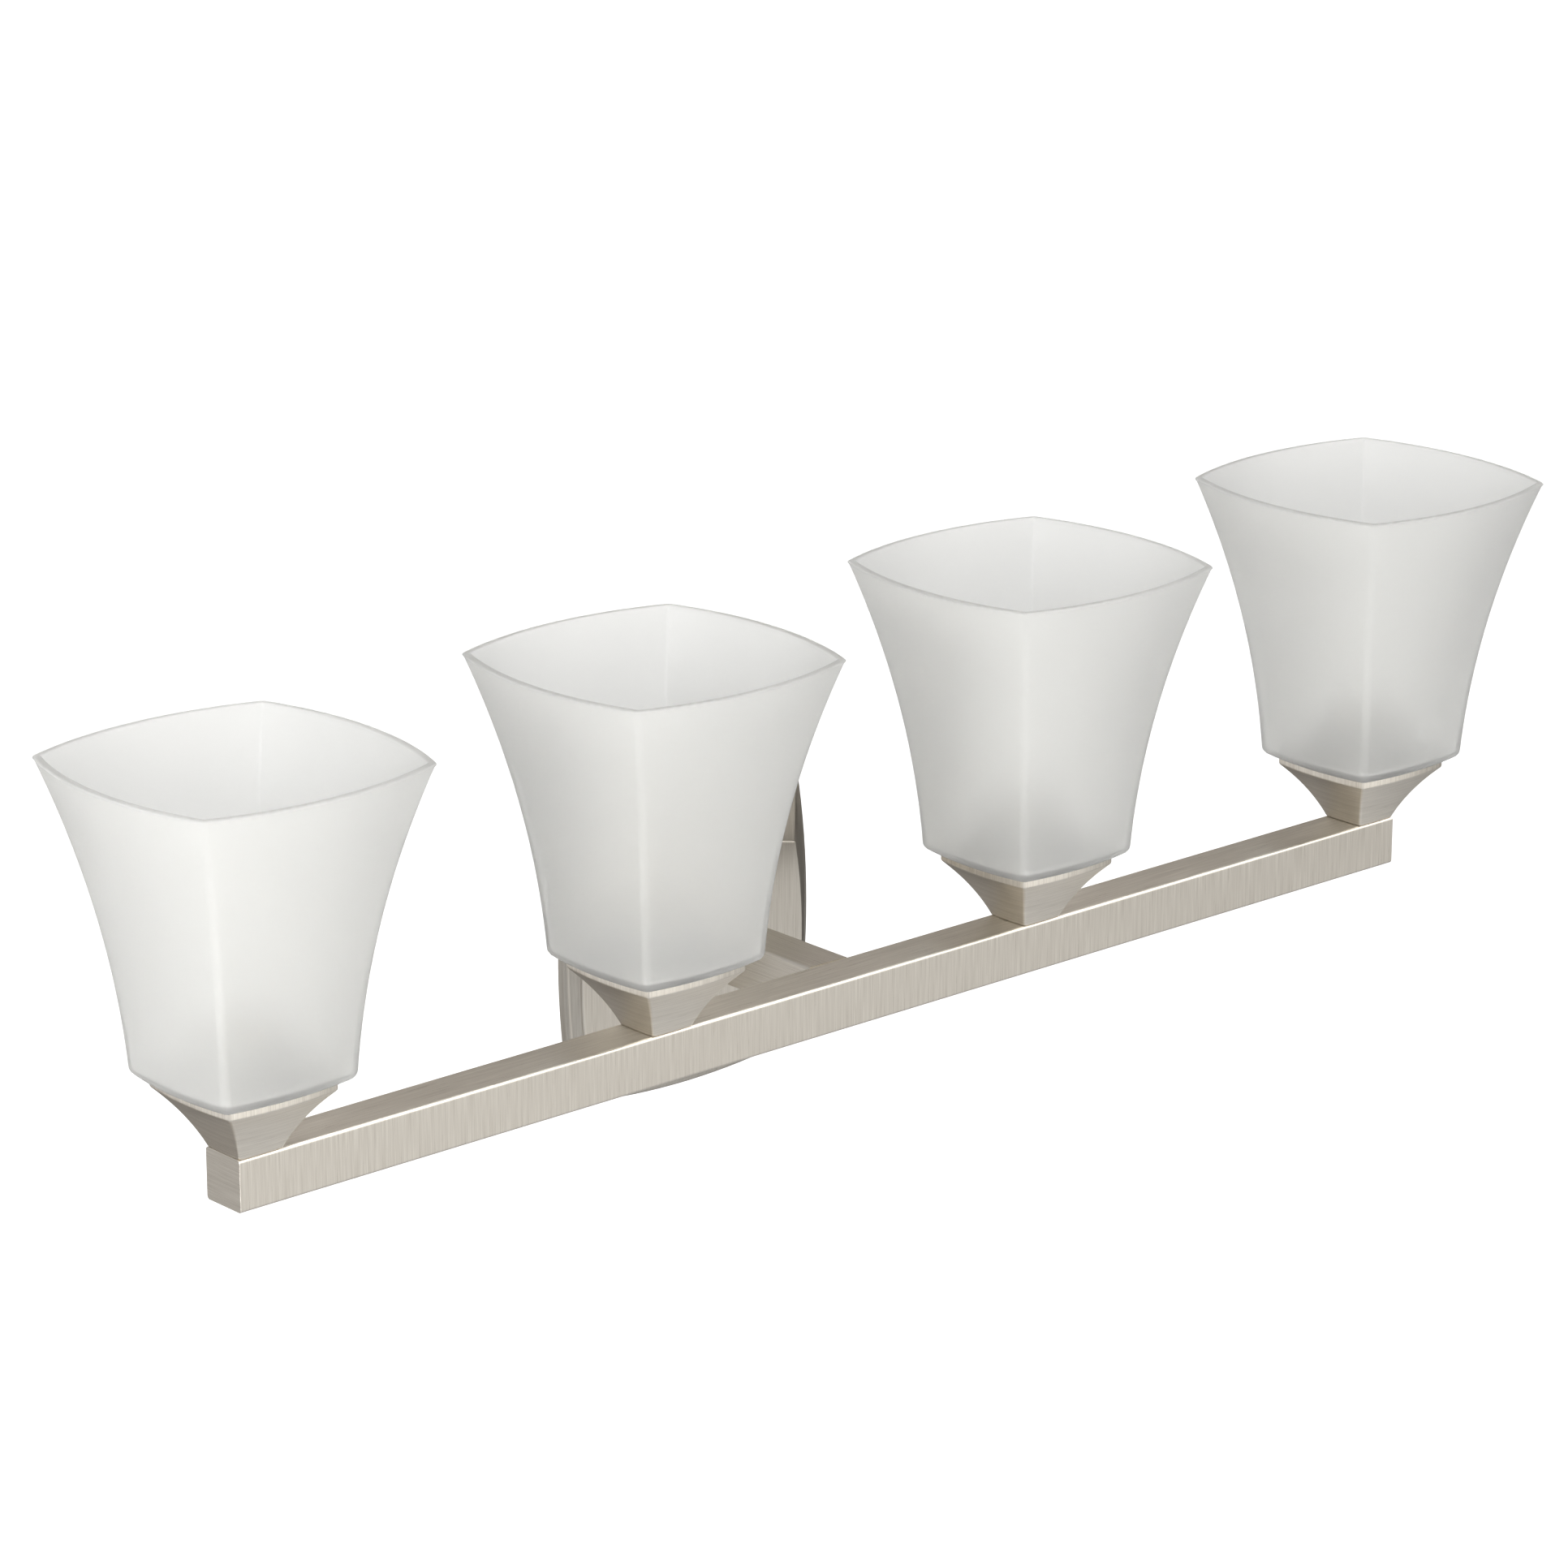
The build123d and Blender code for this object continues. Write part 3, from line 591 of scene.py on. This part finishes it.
def shadeRings():
    wall, floor, rim, foot = shade["wall"], shade["floor"], shade["rimRound"], shade["footRound"]
    inner, margin, holeEdge = shade["innerRound"], shade["margin"], shade["holeEdge"]
    turns = np.linspace(0, quarterTurn, 7)
    top = shade["height"]
    outline = shadeRing(0, foot)
    hole, holeRim = (roundRing(shade["hole"] / 2 + wider, outline) for wider in (0, holeEdge))
    rings = [(hole, floor - holeEdge), (hole, holeEdge), (holeRim, 0), (shadeRing(0, foot + margin), 0)]
    rings += [(shadeRing(foot * (1 - cos(t)), foot * (1 - sin(t))), foot * (1 - cos(t))) for t in turns]
    rings += [(shadeRing(z, 0), z) for z in spread(foot + margin, top - rim - margin, shade["outerLevels"])]
    rings += [(shadeRing(top, rim * (1 - cos(t))), top - rim * (1 - sin(t))) for t in turns]
    rings += [(shadeRing(top, wall - rim * (1 - sin(t))), top - rim * (1 - cos(t))) for t in turns]
    rings += [(shadeRing(z, wall), z)
              for z in spread(top - rim - margin, floor + inner + margin, shade["innerLevels"])]
    rings += [(shadeRing(floor, wall + inner * (1 - cos(t))), floor + inner * (1 - sin(t))) for t in turns]
    rings += [(shadeRing(floor, wall + inner + margin), floor), (holeRim, floor)]
    return rings


def makeShades():
    rings = [(ring, z + shade["stand"]) for ring, z in shadeRings()]
    for number, place in enumerate(lampPlaces, 1):
        name = f"glassShade{number}"
        piece = placeMesh(name, loftMesh(name, laidAt(rings, place), shade["sharpAngle"]))
        finishPiece(piece, f"shade_{number}", f"glass_shade_{number}", "etched_glass")
    print("glass shades ready")


makeShades()

# Shade holders

cup = {   # mm
    "height": 33.0, "baseHalf": 12.2, "rimHalf": 30.2, "flareRadius": 88.0, "band": 4.8, "corner": 1.5,
    "cornerLoss": 0.4, "leastCorner": 0.3, "wall": 2.0, "floor": 2.5, "footRound": 0.6, "bandRound": 0.75,
    "rimRound": 0.45, "hole": 10.0, "outerLevels": 20, "innerLevels": 14, "sharpAngle": 32,
}


def cupRing(half, inset=0.0):
    bow = shade["sideBow"] - inset
    corner = max(cup["corner"] - cup["cornerLoss"] * inset, cup["leastCorner"])
    return bowedRing(half - inset, half - inset, bow, bow, corner, perSide=12, perCorner=6)


def cupHalf(z):
    top = cup["height"] - cup["band"]
    return flareHalf(cup["baseHalf"], cup["rimHalf"], top, cup["flareRadius"], min(z, top))


def cupRings():
    top, bandFoot = cup["height"], cup["height"] - cup["band"]
    rim, foot, turn = cup["rimHalf"], cup["footRound"], cup["bandRound"]
    base = cupHalf(0)
    outline = cupRing(base)
    hole = roundRing(cup["hole"] / 2, outline)
    rings = [(hole, cup["floor"]), (hole, 0)]
    rings += [(cupRing(half), z) for half, z in bend((base - foot, 0), (base, 0), (cupHalf(foot), foot))]
    rings += [(cupRing(cupHalf(z)), z) for z in spread(foot + 0.6, bandFoot - turn - 0.5, cup["outerLevels"])]
    rings += [(cupRing(half), z) for half, z in bend(
        (cupHalf(bandFoot - turn), bandFoot - turn), (rim, bandFoot), (rim, bandFoot + turn), 6)]
    edge = cup["rimRound"]
    rings += [(cupRing(half), z) for half, z in bend((rim, top - edge), (rim, top), (rim - edge, top))]
    rings += [(cupRing(rim, cup["wall"]), top), (cupRing(rim, cup["wall"]), bandFoot)]
    inside = spread(bandFoot - 0.8, cup["floor"], cup["innerLevels"])
    rings += [(cupRing(cupHalf(z), cup["wall"]), z) for z in inside]
    return rings


bandLevel = lampPlaces[0][2] + (cup["height"] - cup["band"]) * millimetre


def cupGrain(normal, centre):
    # The flare is brushed around, the rim band up and down
    if centre.z < bandLevel:
        return "around"
    return ((1, 0, 0), (0, 0, 1)) if abs(normal.y) > 0.7 else ((0, 1, 0), (0, 0, 1))


def makeHolders():
    rings = cupRings()
    for number, place in enumerate(lampPlaces, 1):
        name = f"shadeHolder{number}"
        holder = placeMesh(name, loftMesh(name, laidAt(rings, place), cup["sharpAngle"], cupGrain))
        finishPiece(holder, "root", f"shade_holder_{number}", "brushed_nickel", grainNickel)
        # the rim band's faces get the lighter copy of the nickel, a painted highlight
        paintFaces(holder, paintedHighlightBandNickel, lambda centre: centre.z > bandLevel)
    print("shade holders ready")


makeHolders()

# Bar, end caps and arm

tube = {   # mm
    "size": 25.4, "wall": 1.5, "corner": 1.6, "capPlate": 1.5, "capEdge": 0.35, "nippleHole": 10.0,
    "sharpAngle": 35, "innerCorner": 0.1, "plugGap": 0.02, "plugWall": 1.4, "plugDepth": 3.75,
    "panelFace": 10.0,
}


def tubeGrain(normal, centre):
    # The front and back are brushed up and down, the top, bottom and ends along their length
    return ((1, 0, 0), (0, 0, 1)) if abs(normal.y) > 0.7 else ((0, 1, 0), (1, 0, 0))


def armGrain(normal, centre):
    return ((0, 0, 1), (0, 1, 0)) if abs(normal.x) > 0.7 else ((1, 0, 0), (0, 1, 0))


def capGrain(normal, centre):
    return ((0, 0, 1), (0, 1, 0)) if abs(normal.x) > 0.5 else tubeGrain(normal, centre)


def makeBar():
    half, wall = tube["size"] / 2, tube["wall"]
    reach = lampPlaces[-1][0] / millimetre + half - tube["capPlate"]
    y = -lamps["wallToBar"]

    def across(ring, x):
        return [(x * millimetre, y + u * millimetre, v * millimetre) for u, v in ring]

    outside = squareRing(half, tube["corner"])
    inside = squareRing(half - wall, tube["innerCorner"])
    stations = spread(-reach, reach, 13)
    rings = [across(outside, x) for x in stations] + [across(inside, x) for x in reversed(stations)]
    bar = placeMesh("lightBar", loftMesh("lightBar", rings, tube["sharpAngle"], tubeGrain))
    radius = tube["nippleHole"] / 2 * millimetre
    holes = [(place, (0, 0, 1), radius) for place in lampPlaces]
    holes.append(((0, y + half * millimetre, 0), (0, 1, 0), radius))
    drill(bar, holes)
    finishPiece(bar, "root", "light_bar", "brushed_nickel", grainNickel)

    # Each cap is a plate as wide as the bar with a hollow plug behind it
    plug, edge, end = half - wall - tube["plugGap"], tube["capEdge"], reach + tube["capPlate"]
    plugEnd, inner, corner = reach - tube["plugDepth"], tube["innerCorner"], tube["corner"]
    steps = [(plug - tube["plugWall"], inner, reach), (plug - tube["plugWall"], inner, plugEnd),
             (plug, inner, plugEnd), (plug, inner, reach), (half, corner, reach)]
    steps += [(size, corner, x) for size, x in bend((half, end - edge), (half, end), (half - edge, end))]
    steps.append((half - edge - 1, corner, end))
    for side, name in ((-1, "Left"), (1, "Right")):
        rings = [across(squareRing(size, rounding), side * x) for size, rounding, x in steps]
        pole = [(0, 0)] * len(outside)
        rings += [across(pole, side * end), across(pole, side * reach)]
        piece = placeMesh(f"endCap{name}", loftMesh(f"endCap{name}", rings, tube["sharpAngle"], capGrain))
        finishPiece(piece, "root", f"end_cap_{name.lower()}", "brushed_nickel", grainNickel)
    print("bar and caps ready")


def makeArm():
    half, wall = tube["size"] / 2, tube["wall"]
    front = -lamps["wallToBar"] / millimetre + half
    rear = -tube["panelFace"]

    def across(ring, y):
        return [(u * millimetre, y * millimetre, v * millimetre) for u, v in ring]

    stations = spread(front, rear, 5)
    rings = [across(squareRing(half, tube["corner"]), y) for y in stations]
    rings += [across(squareRing(half - wall, tube["innerCorner"]), y) for y in reversed(stations)]
    piece = placeMesh("barArm", loftMesh("barArm", rings, tube["sharpAngle"], armGrain))
    finishPiece(piece, "root", "arm", "brushed_nickel", grainNickel)
    print("arm ready")


makeBar()
makeArm()

# Canopy

plate = {   # mm, the pressed wall plate and its raised panel
    "halfWidth": 73.3, "halfHeight": 72.6, "sideBow": 400.0, "endBow": 440.0, "corner": 4.0,
    "sheet": 1.2, "edgeDepth": 5.8, "edgeRound": 2.0, "slopeRise": 2.6, "panelRise": 1.6,
    "panelHalfWidth": 68.2, "panelHalfHeight": 48.0, "panelDrop": 13.0, "panelSideBow": 262.0,
    "panelEndBow": 305.0, "panelCorner": 2.0, "panelRound": 0.7, "wireHole": 9.0,
    "screwHole": 4.3, "screwSpacing": 15.0, "studHole": 4.7, "studSpacing": 69.85,
    "leastRound": 0.01, "leastCorner": 0.3, "sharpAngle": 32,
}


def plateRing(inset):
    return bowedRing(plate["halfWidth"] - inset, plate["halfHeight"] - inset, plate["sideBow"] - inset,
                     plate["endBow"] - inset, plate["corner"] - inset)


def panelRing(inset):
    corner = max(plate["panelCorner"] - inset, plate["leastCorner"])
    ring = bowedRing(plate["panelHalfWidth"] - inset, plate["panelHalfHeight"] - inset,
                     plate["panelSideBow"] - inset, plate["panelEndBow"] - inset, corner)
    return [(x, z - plate["panelDrop"]) for x, z in ring]


def between(first, last, share):
    return [(a[0] + (b[0] - a[0]) * share, a[1] + (b[1] - a[1]) * share) for a, b in zip(first, last)]


def canopyRings(inset):
    edge = plate["edgeDepth"] - inset
    shoulder = edge + plate["slopeRise"]
    face = shoulder + plate["panelRise"]
    turn, panelTurn = (plate[key if inset == 0 else "leastRound"] for key in ("edgeRound", "panelRound"))
    rings = [(plateRing(inset), 0), (plateRing(inset), 0.4), (plateRing(inset), edge - turn - 0.3)]
    rings += [(plateRing(inset + turn * (1 - cos(t))), edge - turn * (1 - sin(t)))
              for t in np.linspace(0, quarterTurn, 8)]
    border, foot = plateRing(inset + turn), panelRing(inset)
    rings += [(between(border, foot, share), edge + (shoulder - edge) * share)
              for share in (0.04, 0.3, 0.6, 0.96, 1.0)]
    rings += [(foot, face - panelTurn - 0.1)]
    rings += [(panelRing(inset + panelTurn * (1 - cos(t))), face - panelTurn * (1 - sin(t)))
              for t in np.linspace(0, quarterTurn, 6)]
    wireHole = roundRing(plate["wireHole"] / 2, plateRing(0))
    rings += [(panelRing(inset + panelTurn + 1), face), (wireHole, face)]
    return rings


def canopyGrain(normal, centre):
    return ((1, 0, 0), (0, 0, 1)) if abs(normal.y) > 0.5 else "around"


def makeCanopy():
    def standing(ring, depth):
        return [(x * millimetre, -depth * millimetre, z * millimetre) for x, z in ring]

    rings = canopyRings(0) + list(reversed(canopyRings(plate["sheet"])))
    rings = [standing(ring, depth) for ring, depth in rings]
    canopy = placeMesh("wallCanopy", loftMesh("wallCanopy", rings, plate["sharpAngle"], canopyGrain))
    holes = []
    for side in (-1, 1):
        for kind in ("screw", "stud"):
            rise = side * plate[kind + "Spacing"] / 2
            holes.append(((0, -tube["panelFace"] * millimetre, rise * millimetre), (0, 1, 0),
                          plate[kind + "Hole"] / 2 * millimetre))
    drill(canopy, holes)
    # the whole plate gets the darker copy of the nickel, a painted shade
    finishPiece(canopy, "root", "canopy", "brushed_nickel", paintedShadeCanopyNickel)
    shoulder = (plate["edgeDepth"] + plate["slopeRise"]) * millimetre
    # the border's faces, out to the shoulder, get the darker copy of the nickel, a painted shade
    paintFaces(canopy, paintedShadeBorderNickel, lambda centre: -centre.y < shoulder - weldDistance * 10)
    print("canopy ready")


makeCanopy()

# Turned and moulded pieces

turnedSharpAngle = 38


def turnedMesh(name, outline, lay, around=72, relief=None):
    # Turns a closed outline of (radius, height) in mm about an axis; relief shifts the radius
    rings = []
    for radius, height in outline:
        angles = [2 * pi * j / around for j in range(around)]
        reach = [radius + relief(radius, a, height) if relief else radius for a in angles]
        rings.append([lay(r * cos(a), r * sin(a), height) for r, a in zip(reach, angles)])
    return loftMesh(name, rings, turnedSharpAngle)


def treeSocket(tree, name, kind, way="INPUT"):
    return tree.interface.new_socket(name, in_out=way, socket_type=kind).identifier


def makeRibTree():
    # Rounded ribs in a circle about a piece's axis, joined to the piece
    tree = bpy.data.node_groups.new("ribsAround", "GeometryNodeTree")
    tree.is_modifier = True
    sockets = {"Core": treeSocket(tree, "Core", "NodeSocketGeometry")}
    sockets.update({name: treeSocket(tree, name, kind) for name, kind in (
        ("Count", "NodeSocketInt"), ("Circle Radius", "NodeSocketFloat"), ("Rib Radius", "NodeSocketFloat"),
        ("Rib Length", "NodeSocketFloat"), ("Middle", "NodeSocketVector"), ("Turn", "NodeSocketVector"),
        ("Finish", "NodeSocketMaterial"))})
    treeSocket(tree, "Result", "NodeSocketGeometry", "OUTPUT")
    nodes, links = tree.nodes, tree.links
    source, result = nodes.new("NodeGroupInput"), nodes.new("NodeGroupOutput")
    circle = nodes.new("GeometryNodeMeshCircle")
    rib = nodes.new("GeometryNodeMeshUVSphere")
    rib.inputs["Segments"].default_value = 10
    rib.inputs["Rings"].default_value = 8
    stretch = nodes.new("ShaderNodeCombineXYZ")
    half = addNode(nodes, "ShaderNodeMath", {1: 2.0}, operation="DIVIDE")
    shape = nodes.new("GeometryNodeTransform")
    placed = nodes.new("GeometryNodeInstanceOnPoints")
    turned = nodes.new("GeometryNodeTransform")
    realize = nodes.new("GeometryNodeRealizeInstances")
    smooth = nodes.new("GeometryNodeSetShadeSmooth")
    join = nodes.new("GeometryNodeJoinGeometry")
    finish = nodes.new("GeometryNodeSetMaterial")
    rib.inputs["Radius"].default_value = 1.0
    given = source.outputs
    wires = (
        (given["Count"], circle.inputs["Vertices"]), (given["Circle Radius"], circle.inputs["Radius"]),
        (given["Rib Radius"], stretch.inputs["X"]), (given["Rib Radius"], stretch.inputs["Y"]),
        (given["Rib Length"], half.inputs[0]), (half.outputs[0], stretch.inputs["Z"]),
        (rib.outputs["Mesh"], shape.inputs["Geometry"]), (stretch.outputs[0], shape.inputs["Scale"]),
        (circle.outputs["Mesh"], placed.inputs["Points"]), (shape.outputs[0], placed.inputs["Instance"]),
        (placed.outputs[0], turned.inputs["Geometry"]), (given["Middle"], turned.inputs["Translation"]),
        (given["Turn"], turned.inputs["Rotation"]), (turned.outputs[0], smooth.inputs["Geometry"]),
        (smooth.outputs[0], join.inputs[0]), (given["Core"], join.inputs[0]),
        (join.outputs[0], realize.inputs["Geometry"]), (realize.outputs[0], finish.inputs["Geometry"]),
        (given["Finish"], finish.inputs["Material"]), (finish.outputs[0], result.inputs[0]))
    for start, end in wires:
        links.new(start, end)
    return tree, sockets


ribTree, ribSockets = makeRibTree()


def addRibs(piece, material, values):
    # Runs the rib tree once for each ring of ribs and leaves a plain mesh
    modifier = piece.modifiers.new("ribs", "NODES")
    modifier.node_group = ribTree
    for name, value in {**values, "Finish": material}.items():
        modifier[ribSockets[name]] = value
    bpy.context.view_layer.update()
    settle(piece)


# Shade rings

ringSizes = {   # mm, heights above the bar's top face
    "low": 37.8, "height": 8.0, "flange": 24.5, "flangeHeight": 2.4, "collar": 21.1, "bore": 19.05,
    "ribs": 24, "ribRadius": 0.9, "ribCircle": 21.05, "ribGap": 0.2, "edge": 0.5, "fillet": 1.0,
    "boreEdge": 0.4,
}


def makeShadeRings():
    low, flange, collar, bore = (ringSizes[key] for key in ("low", "flange", "collar", "bore"))
    edge, fillet, boreEdge = (ringSizes[key] for key in ("edge", "fillet", "boreEdge"))
    top, shoulder = low + ringSizes["height"], low + ringSizes["flangeHeight"]
    outline = [(bore, low), (flange - edge, low)]
    outline += bend((flange - edge, low), (flange, low), (flange, low + edge), 4)
    outline += bend((flange, shoulder - edge), (flange, shoulder), (flange - edge, shoulder), 4)
    outline += bend((collar + fillet, shoulder), (collar, shoulder), (collar, shoulder + fillet), 4)
    outline += bend((collar, top - edge), (collar, top), (collar - edge, top), 4)
    outline += [(bore + boreEdge, top), (bore, top - boreEdge)]
    material = finishes["grey_phenolic"]
    ribLength = ringSizes["height"] - ringSizes["flangeHeight"]
    for number, place in enumerate(lampPlaces, 1):
        piece = placeMesh(f"shadeRing{number}", turnedMesh(f"shadeRing{number}", outline, standingAt(place)))
        middle = (place[0], place[1], place[2] + (shoulder + ribLength / 2) * millimetre)
        addRibs(piece, material, {
            "Count": ringSizes["ribs"], "Circle Radius": ringSizes["ribCircle"] * millimetre,
            "Rib Radius": ringSizes["ribRadius"] * millimetre,
            "Rib Length": (ribLength - ringSizes["ribGap"]) * millimetre,
            "Middle": middle, "Turn": (0.0, 0.0, 0.0)})
        finishPiece(piece, f"ring_{number}", f"shade_ring_{number}", "grey_phenolic", weigh=False)
    print("shade rings ready")


# Lamp sockets

socket = {   # mm, heights above the bar's top face
    "low": 20.0, "foot": 15.0, "waist": 18.2, "waistLow": 24.0, "threadLow": 30.0, "thread": 19.0,
    "top": 56.0, "rimRound": 0.9, "boreRound": 0.7, "threadLevels": 84, "shellRound": 0.8, "shellLevels": 60,
    "around": 64, "stripEase": 0.9,
    "threadPitch": 2.54, "threadDepth": 0.75, "shellBore": 13.85, "shellSeat": 35.0, "seatBore": 12.5,
    "floorTop": 32.5, "chamberTop": 30.0, "chamberLow": 24.6, "chamber": 11.8, "nippleHole": 4.9,
    "shellOutside": 13.7, "shellSheet": 0.4, "shellTop": 55.0, "flangeBore": 9.0,
    "lampPitch": 3.63, "lampDepth": 0.42, "stripWidth": 4.0, "stripSheet": 0.6,
    "tail": [(1.2, 26.9), (10.6, 26.9), (10.6, 35.2)],
    "contact": [(-1.2, 26.9), (-7.2, 26.9), (-7.2, 32.9), (-3.6, 32.9), (1.8, 34.9), (3.6, 34.3)],
}


def helix(pitch, depth, low, high):
    # A rounded thread that fades out at both ends
    def relief(radius, angle, height):
        fade = min(1, max(0, (height - low) / pitch)) * min(1, max(0, (high - height) / pitch))
        wave = 0.5 - 0.5 * cos(2 * pi * height / pitch - angle)
        return -depth * wave * fade
    return relief


def eased(corner, end):
    share = socket["stripEase"] / hypot(end[0] - corner[0], end[1] - corner[1])
    return [a + (b - a) * share for a, b in zip(corner, end)]


def bentStrip(name, points, lay):
    # A flat strip that follows (y, z) points with eased corners
    path = [points[0]]
    for before, corner, after in zip(points, points[1:], points[2:]):
        path += bend(eased(corner, before), corner, eased(corner, after), 4)
    path.append(points[-1])
    half, sheet = socket["stripWidth"] / 2, socket["stripSheet"] / 2
    rings = []
    for i, (y, z) in enumerate(path):
        back, ahead = path[max(i - 1, 0)], path[min(i + 1, len(path) - 1)]
        run = hypot(ahead[0] - back[0], ahead[1] - back[1])
        acrossY, acrossZ = -(ahead[1] - back[1]) / run * sheet, (ahead[0] - back[0]) / run * sheet
        rings.append([lay(x, y + side * acrossY, z + side * acrossZ)
                      for x, side in ((-half, -1), (half, -1), (half, 1), (-half, 1))])
    middle = [sum(corner[k] for corner in rings[0]) / 4 for k in range(3)]
    end = [sum(corner[k] for corner in rings[-1]) / 4 for k in range(3)]
    rings = [[middle] * 4] + rings + [[end] * 4]
    return loftMesh(name, rings, turnedSharpAngle, closed=False)


def joinMeshes(name, meshes):
    edit = bmesh.new()
    for mesh in meshes:
        edit.from_mesh(mesh)
    joined = bpy.data.meshes.new(name)
    edit.to_mesh(joined)
    edit.free()
    for mesh in meshes:
        bpy.data.meshes.remove(mesh)
    return joined


def makeSockets():
    low, top, thread, threadLow = (socket[key] for key in ("low", "top", "thread", "threadLow"))
    waist, waistLow, nippleHole = (socket[key] for key in ("waist", "waistLow", "nippleHole"))
    bore, seat, shellTop = (socket[key] for key in ("shellBore", "shellSeat", "shellTop"))
    rim, inner, turn = (socket[key] for key in ("rimRound", "boreRound", "shellRound"))
    bodyRelief = helix(socket["threadPitch"], socket["threadDepth"], threadLow + 0.2, top - 1.0)
    lampRelief = helix(socket["lampPitch"], socket["lampDepth"], seat + 1.5, shellTop - 0.5)
    body = [(nippleHole, low), (socket["foot"] - 0.8, low), (socket["foot"], low + 0.5)]
    body += bend((waist - 1, waistLow - 1.2), (waist, waistLow), (waist, waistLow + 1), 4)
    body += [(waist, threadLow), (thread, threadLow + 0.2)]
    body += [(thread, z) for z in spread(threadLow + 0.5, top - 1.2, socket["threadLevels"])]
    body += bend((thread, top - rim), (thread, top), (thread - rim, top), 4)
    body += bend((bore + inner, top), (bore, top), (bore, top - inner), 4)
    body += [(bore, seat), (socket["seatBore"], seat)]
    body += [(socket["seatBore"], socket["floorTop"]), (0, socket["floorTop"]), (0, socket["chamberTop"])]
    body += [(socket["chamber"], socket["chamberTop"]), (socket["chamber"], socket["chamberLow"])]
    body.append((nippleHole, socket["chamberLow"]))
    outside, sheet, flange = (socket[key] for key in ("shellOutside", "shellSheet", "flangeBore"))
    levels = spread(seat + turn, shellTop - 0.2, socket["shellLevels"])
    shell = [(flange, seat)] + bend((outside - turn, seat), (outside, seat), (outside, seat + turn), 4)
    shell += [(outside, z) for z in levels] + [(outside, shellTop), (outside - sheet, shellTop)]
    shell += [(outside - sheet, z) for z in reversed(levels)]
    shell += [(outside - sheet - 0.4, seat + sheet), (flange, seat + sheet)]

    def bodyThread(radius, angle, height):
        return bodyRelief(radius, angle, height) if radius == thread else 0

    def lampThread(radius, angle, height):
        return lampRelief(radius, angle, height) if radius in (outside, outside - sheet) else 0

    for number, place in enumerate(lampPlaces, 1):
        lay, around = standingAt(place), socket["around"]
        name = f"socketBody{number}"
        parts = [(name, "socket_body", "grey_phenolic", turnedMesh(name, body, lay, around, bodyThread))]
        name = f"screwShell{number}"
        mesh = joinMeshes(name, [turnedMesh(name + "Wall", shell, lay, around, lampThread),
                                 bentStrip(name + "Tail", socket["tail"], lay)])
        parts.append((name, "socket_shell", "nickel_plated_brass", mesh))
        name = f"centreContact{number}"
        parts.append((name, "socket_contact", "spring_brass", bentStrip(name, socket["contact"], lay)))
        for name, node, slotName, mesh in parts:
            finishPiece(placeMesh(name, mesh), "root", f"{node}_{number}", slotName, weigh=False)
    print("sockets ready")


# Cap nuts on the canopy

capNut = {   # mm
    "base": 4.7, "skirt": 3.0, "crown": 5.0, "crownShare": 0.88, "bore": 2.1, "boreDepth": 7.4, "edge": 0.3,
    "knurls": 30, "knurlRadius": 0.3, "knurlGap": 0.6,
}


def makeCapNuts():
    base, skirt, crown, bore = (capNut[key] for key in ("base", "skirt", "crown", "bore"))
    edge, domeHalf = capNut["edge"], crown * capNut["crownShare"]
    outline = [(bore, 0), (base - edge, 0), (base, edge), (base, skirt - 0.4)]
    outline += bend((base, skirt - edge), (base, skirt), (base - 0.4, skirt), 3)
    outline += [(domeHalf * cos(t), skirt + crown * sin(t)) for t in np.linspace(0.1, quarterTurn - 0.06, 12)]
    outline += [(0, skirt + crown), (0, capNut["boreDepth"]), (bore, capNut["boreDepth"])]
    material = finishes["brushed_nickel"]
    meshes, places = [], []
    for side in (-1, 1):
        place = (0, -tube["panelFace"] * millimetre, side * plate["studSpacing"] / 2 * millimetre)
        places.append(place)

        # The nuts' own height points into the room
        def lay(x, y, z, place=place):
            return (place[0] + x * millimetre, place[1] - z * millimetre, place[2] + y * millimetre)

        meshes.append(turnedMesh("capNut", outline, lay, 40))
    piece = placeMesh("capNuts", joinMeshes("capNuts", meshes))
    for x, y, z in places:
        addRibs(piece, material, {
            "Count": capNut["knurls"], "Circle Radius": base * millimetre,
            "Rib Radius": capNut["knurlRadius"] * millimetre,
            "Rib Length": (skirt - capNut["knurlGap"]) * millimetre,
            "Middle": (x, y - skirt / 2 * millimetre, z), "Turn": (quarterTurn, 0.0, 0.0)})
    finishPiece(piece, "root", "cap_nuts", "brushed_nickel", weigh=False)
    print("cap nuts ready")


# Wire connectors behind the canopy

connector = {   # mm
    "mouth": 3.9, "tip": 3.0, "taper": 0.25, "length": 17.0, "bore": 1.1, "grip": 9.0, "edge": 0.3,
    "flutes": 10, "fluteDepth": 0.22, "middle": 21.0, "plane": 4.7, "lift": 2.2,
}


def makeConnectors():
    mouth, tip, length = (connector[key] for key in ("mouth", "tip", "length"))
    edge, taper = connector["edge"], connector["taper"]
    outline = [(connector["bore"], 0), (mouth - edge, 0), (mouth, edge), (mouth, 1.4)]
    outline += [(mouth - taper + (tip - mouth) * z / length, z) for z in spread(1.8, length - 0.8, 12)]
    outline += bend((tip - taper, length - 0.6), (tip - taper, length), (tip - 0.9, length), 4)
    outline += [(0, length), (0, connector["grip"]), (connector["bore"], connector["grip"])]

    def flutes(radius, angle, height):
        inside = radius > tip - 0.4 and 1.6 < height < length - 0.9
        return -connector["fluteDepth"] * (0.5 - 0.5 * cos(connector["flutes"] * angle)) if inside else 0

    meshes = []
    for side in (-1, 1):
        def lay(x, y, z, side=side):
            return (side * (connector["middle"] + z) * millimetre, -(connector["plane"] + y) * millimetre,
                    (x - side * connector["lift"]) * millimetre)
        meshes.append(turnedMesh("wireConnector", outline, lay, 60, flutes))
    piece = placeMesh("wireConnectors", joinMeshes("wireConnectors", meshes))
    finishPiece(piece, "root", "wire_connectors", "orange_plastic", weigh=False)
    print("wire connectors ready")


makeShadeRings()
makeSockets()
makeCapNuts()
makeConnectors()
